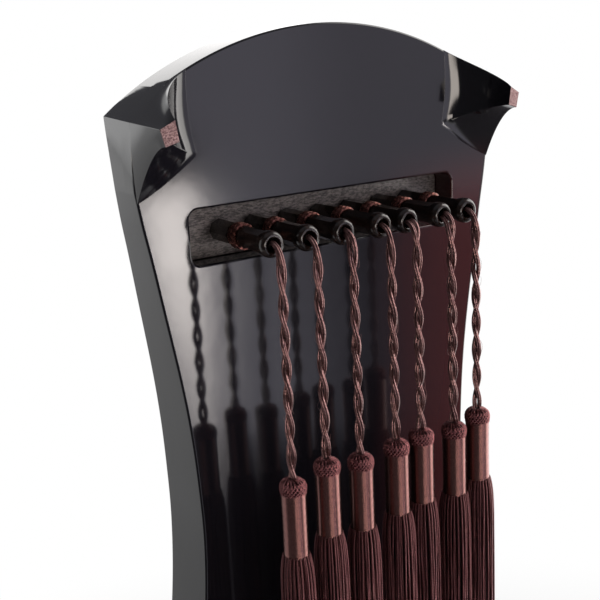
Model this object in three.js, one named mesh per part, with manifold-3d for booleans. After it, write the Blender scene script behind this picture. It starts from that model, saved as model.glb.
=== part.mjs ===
// Guqin, a seven-string zither, upright with its head end up and its back towards -Y.
// Millimetres. X runs across the board, Y from the back to the strings, Z up to the head end.
// The origin is on the upper end wall of the dragon pool, halfway through the bottom board,
// where a wall hook carries the instrument.
import * as THREE from 'three';
import { mergeVertices } from 'three/addons/utils/BufferGeometryUtils.js';
import { ConvexGeometry } from 'three/addons/geometries/ConvexGeometry.js';
import Module from 'manifold-3d';

const wasm = await Module();
wasm.setup();

// Lengths along the body, measured down from the middle of the head end
const bridgeFromHead = 108;
const stringLength = 1121;
const tailPastNut = 13;

// Half widths of the outline
const headHalfWidth = 99.9;
const headCornerHalfWidth = 101.4;
const neckHalfWidth = 79.6;
const shoulderHalfWidth = 105.5;
const bodyEndHalfWidth = 90;
const tailStartHalfWidth = 85;
const tailHalfWidth = 77;
const waistDepth = 12;
const headArcRadius = 165;

// Thickness and arch
const headThickness = 42.5;
const headEndThickness = 24.5;
const bodyThickness = 53;
const tailThickness = 40;
const archRadius = 230;
const headArchRadius = 265;
const bottomBoardThickness = 9;
const topWall = 11;
const sideWall = 13;

// Clearance where two pieces are seated on each other, and the overrun of cutting tools
const seatGap = 0.3;
const overrun = 4;

// Hollow of the body and the two posts in it
const headBlockPastBridge = 42;
const tailBlockLength = 72;
const nayinRise = 6;
const nayinMargin = 9;
const postRadius = 9;
const postTopGap = 0.8;

// Sound holes in the bottom board
const poolLength = 200;
const poolWidth = 26;
const pondLength = 112;
const pondWidth = 25;
const soundHoleCornerRadius = 6;

// Peg slot in the back of the head
const slotTopFromHead = 77.4;
const slotWidth = 150;
const slotHeight = 25.4;
const slotDepth = 12.5;
const slotCornerRadius = 4.5;
const slotPlateThickness = 3;
const threadHoleRadius = 3.2;

// Tuning pegs
const stringCount = 7;
const pegSpacing = 18;
const pegBelowSlotTop = 12.9;
const pegLength = 49.4;
const pegFacets = 8;
const pegNeckRadius = 4.4;
const pegWaistRadius = 5.2;
const pegCollarRadius = 5.7;
const pegTipRadius = 5.9;
const pegBevel = 0.7;
const pegBoreRadius = 2.2;
const pegMouthRadius = 3.2;
const pegMouthDepth = 7;
const pegLeanDegrees = [-0.4, 2.8, 0.3, 3.6, 0.5, -0.3, -0.8];

// Thread wound on the neck of each peg
const windingStart = 16.3;
const windingThread = 1.8;
const windingGap = 0.45;
const windingLoops = 3;
const windingSteps = 24;
const windingSides = 6;

// Cord and tassel that hang from the end of each peg
const cordDiameter = 5;
const cordInside = 0.8;
const cordStandOff = 4.9;
const cordSides = 8;
const cordLengths = [97.6, 101.3, 99.6, 101, 102.7, 100, 104.7];
const tasselCapHeight = 8.9;
const tasselCapRadius = 6.8;
const tasselNeckLength = 28.2;
const tasselNeckRadius = 6;
const tasselSkirtLength = 170;
const tasselSkirtRadius = 7.4;
const tasselSides = 10;

// Bridge and the strip that the silk loops come up through
const bridgeThickness = 9;
const bridgeHalfLength = 73;
const bridgeHeight = 17;
const bridgeEndHeight = 10;
const bridgeInlay = 3;
const stripToSlotTop = 5;
const stripHalfLength = 74;
const stripRise = 1.5;
const stripInlay = 2;

// Nut, tail support and tail caps
const nutHalfLength = 27;
const nutThickness = 17;
const nutRise = 3;
const nutInlay = 7;
const nutPastTail = 2;
const supportRise = 2;
const supportInlay = 4;
const capLength = 78;
const capInlay = 3;
const capRise = 1.6;
const capToNut = 3;

// Silk loops and strings
const loopRadius = 2.1;
const loopPastBridge = 2.4;
const thickestString = 1.6;
const thinnestString = 0.9;
const stringSpacingAtNut = 7;
const stringSides = 8;

// Feet and the string ends wound on them
const footHeight = 42;
const footSpacing = 84;
const footFlangeRadius = 12;
const footFlangeHeight = 5;
const footNeckRadius = 8.4;
const footNeckHeight = 15;
const footBaseRadius = 11.5;
const footBaseHeight = 4;
const footTenonRadius = 6;
const footSides = 10;
const wrapThickness = 3;
const wrapMargin = 2;

// Peg guards at the corners of the head
const guardHeight = 26.1;
const guardInnerTop = 71.5;
const guardInnerBottom = 68.8;
const guardInnerBottomFromHead = 53.6;
const guardOuterBottomFromHead = 59.3;
const guardCornerDrop = 3.4;
const guardTipFromHead = 40.7;
const guardTipFromCentre = 93.7;
const guardTipWidth = 6.4;
const guardTipHeight = 8.1;
const guardTipDrop = 2.5;
const guardFlarePower = 2.4;
const guardTopFallPower = 1.15;
const guardLevels = 7;
const cornerCutFromCentre = 80;

// Points of the outline, each [share of the way along, share of the way out]
const neckCurveShares = [
  [0.105, 1.0], [0.154, 0.89], [0.209, 0.74], [0.281, 0.562], [0.399, 0.276], [0.487, 0.118],
  [0.572, 0.034], [0.654, 0],
];
const flareCurveShares = [
  [0.739, 0.046], [0.82, 0.154], [0.886, 0.3], [0.925, 0.44], [0.951, 0.614], [0.977, 0.865],
  [1, 1],
];
const bodyCurveShares = [[0, 1], [0.03, 1.01], [0.25, 0.86], [0.6, 0.46], [0.92, 0.1], [1, 0]];
const waistCurveShares = [
  [0, 0], [0.05, 0.4], [0.15, 0.72], [0.32, 0.94], [0.5, 1], [0.68, 0.94], [0.85, 0.72],
  [0.95, 0.4], [1, 0],
];
// Where the thirteen studs divide the string, as on every such zither
const studShares = [
  1 / 8, 1 / 6, 1 / 5, 1 / 4, 1 / 3, 2 / 5, 1 / 2, 3 / 5, 2 / 3, 3 / 4, 4 / 5, 5 / 6, 7 / 8,
];
// Inner edge of a tail cap: [share of its length, share of its half width], a cloud scroll
const capCurveShares = [
  [0, 0.8], [0.08, 0.62], [0.2, 0.58], [0.3, 0.36], [0.44, 0.34], [0.56, 0.12], [0.72, 0.02],
  [1, 0],
];
// Side of a hanging cord's bend: [share of the stand-off outwards, share of it downwards]
const cordBendShares = [[0.18, 0.06], [0.6, 0.36], [0.87, 0.9], [0.98, 1.65], [1, 2.6]];
const cordStretches = 8;
const skirtFlareShares = [[0, 0.8], [0.1, 0.84], [0.35, 0.9], [0.75, 0.97], [1, 1]];
const capDomeShares = [[0.42, 0], [0.78, 0.16], [0.97, 0.5], [1, 0.8], [0.93, 1]];

const lerp = THREE.MathUtils.lerp;
const v2 = (x, y) => new THREE.Vector2(x, y);
const v3 = (x, y, z) => new THREE.Vector3(x, y, z);

// Places that follow from the sizes above
const bodyLength = bridgeFromHead + stringLength + tailPastNut;
const fromBridge = (share) => bridgeFromHead + stringLength * share;
const atStud = (number) => fromBridge(studShares[number - 1]);
const poolMiddle = (atStud(4) + atStud(7)) / 2;
const pondMiddle = (atStud(10) + atStud(13)) / 2;
const feetFromHead = (atStud(9) + atStud(10)) / 2;
const headPostFromHead = (atStud(3) + atStud(4)) / 2;
const tailPostFromHead = (atStud(8) + atStud(9)) / 2;
const headZ = poolMiddle - poolLength / 2;
const zAt = (fromHead) => headZ - fromHead;
const backY = -bottomBoardThickness / 2;
const splitY = bottomBoardThickness / 2;
const topBoardLowY = splitY + seatGap;
const slotFloorY = backY + slotDepth;
const slotPlateTopY = slotFloorY + slotPlateThickness;
const pegFromHead = slotTopFromHead + pegBelowSlotTop;
const pegX = (index) => (stringCount - 1 - 2 * index) * pegSpacing / 2;
const headArcAt = (x) => headArcRadius - Math.sqrt(headArcRadius ** 2 - x ** 2);
const headCornerFromHead = headArcAt(headCornerHalfWidth);
const shoulderFromHead = atStud(3) + shoulderHalfWidth - headHalfWidth;
const alongNeck = (share) => lerp(headCornerFromHead, shoulderFromHead, share);
const flareEndFromHead = alongNeck(neckCurveShares[0][0]);

// Finishes
const finish = (color, roughness, metalness = 0) => new THREE.MeshStandardMaterial({
  color, roughness, metalness,
});
const lacquer = finish(0x1a1113, 0.12);
const ebony = finish(0x17100f, 0.28);
const slotWood = finish(0x2b2322, 0.45);
const pegWood = finish(0x1b1413, 0.25);
const bareWood = finish(0xa98b64, 0.7);
const silkThread = finish(0x7d5249, 0.6);
const tasselSilk = finish(0x5e2530, 0.65);
const stringSilk = finish(0xcfc3a6, 0.45);

// Closed meshes and the joins and cuts between them

function closedMesh(positions, indices) {
  let volume = 0;
  for (let i = 0; i < indices.length; i += 3) {
    const [a, b, c] = [positions[indices[i]], positions[indices[i + 1]], positions[indices[i + 2]]];
    volume += a.dot(b.clone().cross(c));
  }
  const ordered = volume < 0 ? indices.slice().reverse() : indices;
  const geometry = new THREE.BufferGeometry().setFromPoints(positions);
  geometry.setIndex(ordered);
  return geometry;
}

function solidOf(source) {
  const bare = source.clone();
  for (const name of Object.keys(bare.attributes)) {
    if (name !== 'position') {
      bare.deleteAttribute(name);
    }
  }
  const merged = mergeVertices(bare);
  return new wasm.Manifold(new wasm.Mesh({
    numProp: 3,
    vertProperties: new Float32Array(merged.attributes.position.array),
    triVerts: new Uint32Array(merged.index.array),
  }));
}

function geometryOf(solid) {
  const mesh = solid.getMesh();
  const geometry = new THREE.BufferGeometry();
  const positions = new Float32Array(mesh.vertProperties);
  geometry.setAttribute('position', new THREE.BufferAttribute(positions, mesh.numProp));
  geometry.setIndex(new THREE.BufferAttribute(new Uint32Array(mesh.triVerts), 1));
  return geometry;
}

// A flat outline in X and Z, given a thickness from one Y to another
function prism(points, lowY, highY) {
  const shape = new THREE.Shape(points);
  const geometry = new THREE.ExtrudeGeometry(shape, { depth: highY - lowY, bevelEnabled: false });
  geometry.rotateX(Math.PI / 2);
  geometry.translate(0, highY, 0);
  return geometry;
}

const evenly = (from, to, count) => Array.from({ length: count + 1 }, (_, i) => lerp(from, to, i / count));

// A slab between two heights that vary over the board, wide as left and right say
function slab({
  from, to, left, right, low, high, along, across, stations = evenly(from, to, along),
}) {
  const positions = [];
  const rows = [];
  for (const height of [high, low]) {
    for (const fromHead of stations) {
      const row = [];
      for (let j = 0; j <= across; j += 1) {
        const x = lerp(left(fromHead), right(fromHead), j / across);
        row.push(positions.push(v3(x, height(x, fromHead), zAt(fromHead))) - 1);
      }
      rows.push(row);
    }
  }
  const last = stations.length - 1;
  const upper = rows.slice(0, last + 1);
  const lower = rows.slice(last + 1);
  const indices = [];
  const quad = (a, b, c, d) => indices.push(a, b, c, a, c, d);
  for (let i = 0; i < last; i += 1) {
    for (let j = 0; j < across; j += 1) {
      quad(upper[i][j], upper[i][j + 1], upper[i + 1][j + 1], upper[i + 1][j]);
      quad(lower[i][j], lower[i + 1][j], lower[i + 1][j + 1], lower[i][j + 1]);
    }
    quad(upper[i][0], upper[i + 1][0], lower[i + 1][0], lower[i][0]);
    quad(upper[i][across], lower[i][across], lower[i + 1][across], upper[i + 1][across]);
  }
  for (let j = 0; j < across; j += 1) {
    quad(upper[0][j], lower[0][j], lower[0][j + 1], upper[0][j + 1]);
    quad(upper[last][j], upper[last][j + 1], lower[last][j + 1], lower[last][j]);
  }
  return closedMesh(positions, indices);
}

// Rings of equal length joined one after the other, with both ends closed
function loft(rings) {
  const count = rings[0].length;
  const positions = rings.flat();
  const indices = [];
  for (let i = 0; i + 1 < rings.length; i += 1) {
    for (let j = 0; j < count; j += 1) {
      const next = (j + 1) % count;
      const a = i * count + j;
      const b = i * count + next;
      indices.push(a, b, b + count, a, b + count, a + count);
    }
  }
  const last = (rings.length - 1) * count;
  for (let j = 1; j + 1 < count; j += 1) {
    indices.push(0, j + 1, j, last, last + j, last + j + 1);
  }
  return closedMesh(positions, indices);
}

// A round tube along points, turned as little as it can be from one to the next
function tube(points, radius, sides) {
  const directions = points.map((point, i) => {
    const before = points[Math.max(i - 1, 0)];
    const after = points[Math.min(i + 1, points.length - 1)];
    return after.clone().sub(before).normalize();
  });
  let side = Math.abs(directions[0].x) < Math.SQRT1_2 ? v3(1, 0, 0) : v3(0, 0, 1);
  const rings = points.map((point, i) => {
    side = side.clone().addScaledVector(directions[i], -side.dot(directions[i])).normalize();
    const other = directions[i].clone().cross(side);
    const ring = [];
    for (let j = 0; j < sides; j += 1) {
      const angle = 2 * Math.PI * (j + 0.5) / sides;
      ring.push(point.clone()
        .addScaledVector(side, radius * Math.cos(angle))
        .addScaledVector(other, radius * Math.sin(angle)));
    }
    return ring;
  });
  return loft(rings);
}

// A turned piece: a profile of [radius, height] about an axis along Y
const turned = (profile, sides) => {
  const points = profile.map(([radius, height]) => v2(radius, height));
  const geometry = new THREE.LatheGeometry(points, sides);
  const merged = mergeVertices(new THREE.BufferGeometry()
    .setAttribute('position', geometry.attributes.position)
    .setIndex(geometry.index));
  const corners = merged.attributes.position;
  const positions = [];
  for (let i = 0; i < corners.count; i += 1) {
    positions.push(v3().fromBufferAttribute(corners, i));
  }
  const indices = [];
  for (let i = 0; i < merged.index.count; i += 3) {
    const triangle = [0, 1, 2].map((k) => merged.index.getX(i + k));
    if (new Set(triangle).size === 3) {
      indices.push(...triangle);
    }
  }
  return closedMesh(positions, indices);
};

function roundedBox(width, top, bottom, radius) {
  const shape = [];
  const corners = [[1, 1, 0], [-1, 1, 1], [-1, -1, 2], [1, -1, 3]];
  const steps = 4;
  for (const [sideX, sideZ, quarter] of corners) {
    const x = sideX * (width / 2 - radius);
    const z = sideZ > 0 ? zAt(top) - radius : zAt(bottom) + radius;
    for (let i = 0; i <= steps; i += 1) {
      const angle = Math.PI / 2 * (quarter + i / steps);
      shape.push(v2(x + radius * Math.cos(angle), z + radius * Math.sin(angle)));
    }
  }
  return shape;
}

// Outline of the boards

function curveThrough(points, steps) {
  return new THREE.SplineCurve(points).getPoints(steps);
}

// Points of one side, each [half width, distance from the head end]
function sideOutline() {
  const arc = [];
  const arcSteps = 8;
  const arcAngle = Math.asin(headCornerHalfWidth / headArcRadius);
  for (let i = 0; i <= arcSteps; i += 1) {
    const angle = arcAngle * i / arcSteps;
    arc.push(v2(headArcRadius * Math.sin(angle), headArcRadius * (1 - Math.cos(angle))));
  }
  const neck = curveThrough([
    ...neckCurveShares.map(([along, out]) => v2(
      lerp(neckHalfWidth, headHalfWidth, out),
      alongNeck(along),
    )),
    ...flareCurveShares.map(([along, out]) => v2(
      lerp(neckHalfWidth, shoulderHalfWidth, out),
      alongNeck(along),
    )),
  ], 26);
  const body = curveThrough(bodyCurveShares.map(([along, out]) => v2(
    lerp(bodyEndHalfWidth, shoulderHalfWidth, out),
    lerp(shoulderFromHead, atStud(8), along),
  )), 8);
  const waist = curveThrough(waistCurveShares.map(([along, inwards]) => v2(
    lerp(bodyEndHalfWidth, tailStartHalfWidth, along) - waistDepth * inwards,
    lerp(atStud(8), atStud(11), along),
  )), 14);
  return [...arc, ...neck, ...body.slice(1), ...waist.slice(1), v2(tailHalfWidth, bodyLength)];
}

const side = sideOutline();

function halfWidthAt(fromHead) {
  const index = side.findIndex((point) => point.y >= fromHead);
  if (index <= 0) {
    return index < 0 ? side.at(-1).x : side[0].x;
  }
  const [before, after] = [side[index - 1], side[index]];
  return lerp(before.x, after.x, (fromHead - before.y) / (after.y - before.y));
}

function boardPrism(lowY, highY) {
  const right = side.map((point) => v2(point.x, zAt(point.y)));
  const left = side.slice(1).reverse().map((point) => v2(-point.x, zAt(point.y)));
  return prism([...right, ...left], lowY, highY);
}

// Height of the arched top over the board
function crownAt(fromHead) {
  if (fromHead < atStud(4)) {
    return lerp(headThickness, bodyThickness, Math.sin(Math.PI / 2 * Math.max(fromHead, 0) / atStud(4)));
  }
  const tailShare = Math.min((fromHead - atStud(4)) / (bodyLength - atStud(4)), 1);
  return lerp(tailThickness, bodyThickness, (1 + Math.cos(Math.PI * tailShare)) / 2);
}

// How far the arch has dropped at x; it is flatter at the very head
function archDrop(x, fromHead) {
  const flatness = (flareEndFromHead - fromHead) / (flareEndFromHead - headCornerFromHead);
  const radius = lerp(archRadius, headArchRadius, THREE.MathUtils.clamp(flatness, 0, 1));
  return radius - Math.sqrt(Math.max(radius ** 2 - x ** 2, 0));
}

// Height of the top; over the forehead it falls away to a thin and flat end
function topY(x, fromHead) {
  const edge = headArcAt(Math.min(Math.abs(x), headCornerHalfWidth));
  const share = THREE.MathUtils.clamp((fromHead - edge) / (flareEndFromHead - edge), 0, 1);
  const archedY = backY + crownAt(fromHead) - archDrop(x, fromHead);
  return lerp(backY + headEndThickness, archedY, Math.sin(Math.PI / 2 * share));
}

const raised = (rise) => (x, fromHead) => topY(x, fromHead) + rise;
const fixed = (value) => () => value;

// The seven thread holes, as rods through everything at the peg row
function threadHoles(lowY, highY) {
  const rods = [];
  for (let i = 0; i < stringCount; i += 1) {
    const rod = new THREE.CylinderGeometry(threadHoleRadius, threadHoleRadius, highY - lowY, pegFacets);
    rod.translate(pegX(i), (lowY + highY) / 2, zAt(pegFromHead));
    rods.push(solidOf(rod));
  }
  return rods.reduce((joined, rod) => joined.add(rod));
}

const slotOutline = (clearance) => roundedBox(
  slotWidth - 2 * clearance,
  slotTopFromHead + clearance,
  slotTopFromHead + slotHeight - clearance,
  slotCornerRadius - clearance,
);

// Pieces inlaid in the top, each a slab that follows the arch
const stripFromHead = slotTopFromHead + stripToSlotTop;
const bridgeStart = bridgeFromHead - bridgeThickness / 2;
const bridgeEnd = bridgeFromHead + bridgeThickness / 2;
const stripEnd = bridgeStart - seatGap;
const nutStart = bodyLength + nutPastTail - nutThickness;
const nutEnd = bodyLength + nutPastTail;
const capStart = bodyLength - capLength;

function inlaidSlab(start, end, halfLength, depth, rise, clearance, along, across) {
  return slab({
    from: start - clearance,
    to: end + clearance,
    left: fixed(-halfLength - clearance),
    right: fixed(halfLength + clearance),
    low: raised(-depth - clearance),
    high: raised(rise),
    along,
    across,
  });
}

// Plan of the right tail cap: from the nut's side out past the edge of the board
function capPlan(clearance) {
  const inner = nutHalfLength + capToNut;
  const reach = halfWidthAt(capStart) - inner;
  const curve = curveThrough(capCurveShares.map(([along, out]) => v2(
    inner + reach * out - clearance,
    zAt(lerp(capStart, bodyLength, along)),
  )), 14);
  const outer = halfWidthAt(capStart) + overrun;
  const endZ = zAt(bodyLength) - clearance;
  const startZ = zAt(capStart) + clearance;
  return [v2(outer, startZ), v2(curve[0].x, startZ), ...curve.slice(1, -1), v2(curve.at(-1).x, endZ),
    v2(outer, endZ)];
}

const mirrored = (geometry) => {
  const copy = geometry.clone().scale(-1, 1, 1);
  copy.setIndex(new THREE.BufferAttribute(copy.index.array.slice().reverse(), 1));
  return copy;
};

function capSolid(clearance, depth, rise) {
  const layer = slab({
    from: capStart - overrun,
    to: bodyLength + overrun,
    left: fixed(0),
    right: fixed(halfWidthAt(capStart) + 2 * overrun),
    low: raised(-depth),
    high: raised(rise),
    along: 4,
    across: 5,
  });
  return solidOf(layer).intersect(solidOf(prism(capPlan(clearance), 0, bodyThickness)));
}

// Wedge that the scooped face of a peg guard takes off the corner of the head
function cornerWedge() {
  const edgeTopY = topY(headCornerHalfWidth, headCornerFromHead);
  const corners = [
    v3(cornerCutFromCentre, backY, zAt(headArcAt(cornerCutFromCentre))),
    v3(headCornerHalfWidth, edgeTopY, zAt(headCornerFromHead)),
    v3(headCornerHalfWidth, backY, zAt(headCornerFromHead + guardCornerDrop)),
  ];
  const beyond = corners.map((corner) => corner.clone().add(v3(overrun, -overrun, overrun)));
  return solidOf(new ConvexGeometry([...corners, ...beyond]));
}

const bothSides = (solid) => solid.add(solidOf(mirrored(geometryOf(solid))));

function topBoard() {
  const roofHalfWidth = Math.max(...side.map((point) => point.x)) + overrun;
  const roof = slab({
    left: fixed(-roofHalfWidth),
    right: fixed(roofHalfWidth),
    low: fixed(topBoardLowY),
    high: topY,
    stations: [
      -overrun,
      ...evenly(0, headCornerFromHead, 3),
      (headCornerFromHead + flareEndFromHead) / 2,
      ...evenly(flareEndFromHead, bodyLength + overrun, 15),
    ],
    across: 12,
  });
  const hollow = slab({
    from: bridgeFromHead + headBlockPastBridge,
    to: bodyLength - tailBlockLength,
    left: (fromHead) => sideWall - halfWidthAt(fromHead),
    right: (fromHead) => halfWidthAt(fromHead) - sideWall,
    low: fixed(topBoardLowY - overrun),
    high: raised(-topWall),
    along: 18,
    across: 6,
  });
  const nayin = (middle, length, width) => slab({
    from: middle - length / 2 - nayinMargin,
    to: middle + length / 2 + nayinMargin,
    left: fixed(-width / 2 - nayinMargin),
    right: fixed(width / 2 + nayinMargin),
    low: raised(-topWall - nayinRise),
    high: raised(-topWall + overrun),
    along: 2,
    across: 2,
  });
  const cuts = [
    prism(slotOutline(0), topBoardLowY - overrun, slotPlateTopY + seatGap),
    inlaidSlab(stripFromHead, stripEnd, stripHalfLength, stripInlay, overrun, seatGap, 1, 8),
    inlaidSlab(bridgeStart, bridgeEnd, bridgeHalfLength, bridgeInlay, overrun, seatGap, 1, 8),
    inlaidSlab(nutStart, nutEnd, nutHalfLength, nutInlay, overrun, seatGap, 1, 4),
  ];
  let board = solidOf(roof).intersect(solidOf(boardPrism(backY, bodyThickness))).subtract(solidOf(hollow));
  board = board.add(solidOf(nayin(poolMiddle, poolLength, poolWidth)));
  board = board.add(solidOf(nayin(pondMiddle, pondLength, pondWidth)));
  for (const cut of cuts) {
    board = board.subtract(solidOf(cut));
  }
  board = board.subtract(threadHoles(slotFloorY, bodyThickness));
  board = board.subtract(bothSides(capSolid(seatGap, capInlay + seatGap, overrun)));
  return geometryOf(board.subtract(bothSides(cornerWedge())));
}

const footX = footSpacing / 2;

function bottomBoard() {
  const [low, high] = [backY - overrun, splitY + overrun];
  const soundHole = (middle, length, width) => prism(
    roundedBox(width, middle - length / 2, middle + length / 2, soundHoleCornerRadius),
    low,
    high,
  );
  const socketRadius = footTenonRadius + seatGap;
  const socket = new THREE.CylinderGeometry(socketRadius, socketRadius, high - low, footSides);
  socket.translate(footX, 0, zAt(feetFromHead));
  const supportSeat = slab({
    from: nutStart - seatGap,
    to: nutEnd + seatGap,
    left: fixed(-nutHalfLength - seatGap),
    right: fixed(nutHalfLength + seatGap),
    low: fixed(low),
    high: fixed(backY + supportInlay + seatGap),
    along: 1,
    across: 1,
  });
  let board = solidOf(boardPrism(backY, splitY));
  board = board.subtract(solidOf(soundHole(poolMiddle, poolLength, poolWidth)));
  board = board.subtract(solidOf(soundHole(pondMiddle, pondLength, pondWidth)));
  board = board.subtract(solidOf(prism(slotOutline(0), low, high)));
  board = board.subtract(solidOf(supportSeat));
  board = board.subtract(bothSides(solidOf(socket)));
  return geometryOf(board.subtract(bothSides(cornerWedge())));
}

// Fittings of the boards

function slotPlate() {
  const plate = solidOf(prism(slotOutline(seatGap), slotFloorY, slotPlateTopY));
  return geometryOf(plate.subtract(threadHoles(slotFloorY - overrun, slotPlateTopY + overrun)));
}

function holeStrip() {
  const strip = inlaidSlab(stripFromHead, stripEnd, stripHalfLength, stripInlay, stripRise, 0, 1, 8);
  return geometryOf(solidOf(strip).subtract(threadHoles(slotPlateTopY, bodyThickness)));
}

// Height of the bridge over the arch, level over the strings and rounded down at its ends
function bridgeRise(x) {
  const levelTo = pegX(0) + pegSpacing / 2;
  const endShare = Math.max(Math.abs(x) - levelTo, 0) / (bridgeHalfLength - levelTo);
  return lerp(bridgeHeight, bridgeEndHeight, Math.min(endShare, 1) ** 2);
}

const bridgeTopY = (x) => topY(x, bridgeFromHead) + bridgeRise(x);

function bridge() {
  const foot = slab({
    from: bridgeStart,
    to: bridgeEnd,
    left: fixed(-bridgeHalfLength),
    right: fixed(bridgeHalfLength),
    low: (x) => topY(x, bridgeFromHead) - bridgeInlay,
    high: bridgeTopY,
    along: 1,
    across: 12,
  });
  return foot;
}

// The nut's top: level over its front half, then rounding down towards the tail
function nutTopY(x, fromHead) {
  const past = Math.max(fromHead - nutStart - nutThickness / 2, 0) / nutThickness;
  return topY(x, fromHead) + nutRise * Math.sqrt(1 - past ** 2);
}

function nut() {
  return slab({
    from: nutStart,
    to: nutEnd,
    left: fixed(-nutHalfLength),
    right: fixed(nutHalfLength),
    low: raised(-nutInlay),
    high: nutTopY,
    along: 5,
    across: 6,
  });
}

function tailSupport() {
  return slab({
    from: nutStart,
    to: nutEnd,
    left: fixed(-nutHalfLength),
    right: fixed(nutHalfLength),
    low: fixed(backY - supportRise),
    high: fixed(backY + supportInlay),
    along: 1,
    across: 1,
  });
}

function tailCap() {
  const body = solidOf(boardPrism(backY, bodyThickness));
  return geometryOf(capSolid(0, capInlay, capRise).intersect(body));
}

function post(fromHead) {
  const lowY = topBoardLowY;
  const highY = topY(postRadius, fromHead) - topWall - postTopGap;
  const geometry = new THREE.CylinderGeometry(postRadius, postRadius, highY - lowY, footSides);
  geometry.translate(0, (lowY + highY) / 2, zAt(fromHead));
  return geometry;
}

// A foot: tenon in the bottom board, flange, neck that the strings wind on, spread base
function foot() {
  const flangeY = backY - seatGap;
  const neckY = flangeY - footFlangeHeight;
  const baseY = backY - footHeight;
  const profile = [
    [0, splitY],
    [footTenonRadius, splitY],
    [footTenonRadius, flangeY],
    [footFlangeRadius, flangeY],
    [footFlangeRadius, neckY],
    [footNeckRadius, neckY],
    [footNeckRadius, neckY - footNeckHeight],
    [footBaseRadius, baseY + footBaseHeight],
    [footBaseRadius, baseY],
    [0, baseY],
  ];
  return turned(profile, footSides).translate(footX, 0, zAt(feetFromHead));
}

const wrapInner = footNeckRadius + seatGap;
const wrapOuter = wrapInner + wrapThickness;
const wrapTopY = backY - seatGap - footFlangeHeight - wrapMargin;
const wrapLowY = wrapTopY - footNeckHeight + 2 * wrapMargin;

// The string ends wound on a foot, as one band round its neck
function stringWrap() {
  const edge = wrapThickness / 3;
  const profile = [
    [wrapInner, wrapTopY],
    [wrapInner, wrapLowY],
    [wrapOuter - edge, wrapLowY],
    [wrapOuter, wrapLowY + edge],
    [wrapOuter, wrapTopY - edge],
    [wrapOuter - edge, wrapTopY],
    [wrapInner, wrapTopY],
  ];
  return turned(profile, footSides).translate(footX, 0, zAt(feetFromHead));
}

// A horn-like guard that keeps the pegs off the floor, scooped on every side
function pegGuard() {
  const middleX = (guardInnerTop + headCornerHalfWidth) / 2;
  const outerTop = headCornerFromHead + guardCornerDrop;
  const innerTop = headArcAt(guardInnerTop) + seatGap;
  const base = [
    v2(guardInnerTop, innerTop),
    v2(middleX, headArcAt(middleX) + guardCornerDrop / 2 + seatGap),
    v2(halfWidthAt(outerTop) - seatGap, outerTop),
    v2(halfWidthAt(guardOuterBottomFromHead) - seatGap, guardOuterBottomFromHead),
    v2(guardInnerBottom, guardInnerBottomFromHead),
    v2((guardInnerTop + guardInnerBottom) / 2, (innerTop + guardInnerBottomFromHead) / 2),
  ];
  const [halfW, halfH] = [guardTipWidth / 2, guardTipHeight / 2];
  const tip = [[-1, -1], [0, -1], [1, -1], [1, 1], [-1, 1], [-1, 0]].map(([outwards, down]) => v2(
    guardTipFromCentre + outwards * halfW,
    guardTipFromHead + down * halfH + outwards * guardTipDrop / 2,
  ));
  // The upper corners fall to the tip nearly straight, and the others in a hollow curve
  const fallPowers = base.map((corner, i) => (i < 3 ? guardTopFallPower : guardFlarePower));
  const rings = [];
  for (let level = 0; level <= guardLevels; level += 1) {
    const height = level / guardLevels;
    const y = backY - seatGap - (guardHeight - seatGap) * height;
    rings.push(base.map((corner, i) => v3(
      lerp(tip[i].x, corner.x, (1 - height) ** guardFlarePower),
      y,
      zAt(lerp(tip[i].y, corner.y, (1 - height) ** fallPowers[i])),
    )));
  }
  return loft(rings);
}

// Pegs, with their thread windings, cords and tassels

// A peg in its own frame: seated at zero, its end towards -Y
function peg() {
  const windingEnd = windingStart + windingLoops * (windingThread + windingGap) + windingThread;
  const neckEnd = windingEnd + 2 * seatGap;
  const waist = (neckEnd + pegLength) / 2;
  const profile = [
    [pegBoreRadius, 0],
    [pegCollarRadius, 0],
    [pegCollarRadius, -windingStart + 2 * seatGap],
    [pegNeckRadius, -windingStart + seatGap],
    [pegNeckRadius, -neckEnd],
    [pegCollarRadius, -neckEnd - pegBevel],
    [pegWaistRadius, -waist],
    [pegTipRadius, -pegLength + pegBevel],
    [pegTipRadius - pegBevel, -pegLength],
    [pegMouthRadius, -pegLength],
    [pegMouthRadius, -pegLength + pegMouthDepth],
    [pegBoreRadius, -pegLength + pegMouthDepth + pegBevel],
    [pegBoreRadius, 0],
  ];
  return turned(profile, pegFacets);
}

// Points of one peg's winding, with a straight run of one thread at each end
function windingPoints() {
  const radius = pegNeckRadius + seatGap + windingThread / 2;
  const pitch = windingThread + windingGap;
  const start = -windingStart - windingThread / 2;
  const count = windingLoops * windingSteps;
  const points = [];
  for (let i = 0; i <= count; i += 1) {
    const angle = 2 * Math.PI * i / windingSteps;
    points.push(v3(radius * Math.cos(angle), start - pitch * i / windingSteps, radius * Math.sin(angle)));
  }
  const leadIn = points[0].clone().sub(points[1]).setLength(windingThread).add(points[0]);
  const leadOut = points[count].clone().sub(points[count - 1]).setLength(windingThread).add(points[count]);
  return [leadIn, ...points, leadOut];
}

// Least distance between turns of a winding, less its thread
function leastGap(points, thread, apart) {
  let least = Infinity;
  for (let i = 0; i < points.length; i += 1) {
    for (let j = i + apart; j < points.length; j += 1) {
      least = Math.min(least, points[i].distanceTo(points[j]) - thread);
    }
  }
  return least;
}

const windingRoute = windingPoints();
const windingLeastGap = leastGap(windingRoute, windingThread, windingSteps / 2);
console.log('least gap in a peg winding, mm:', windingLeastGap.toFixed(2));

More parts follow.
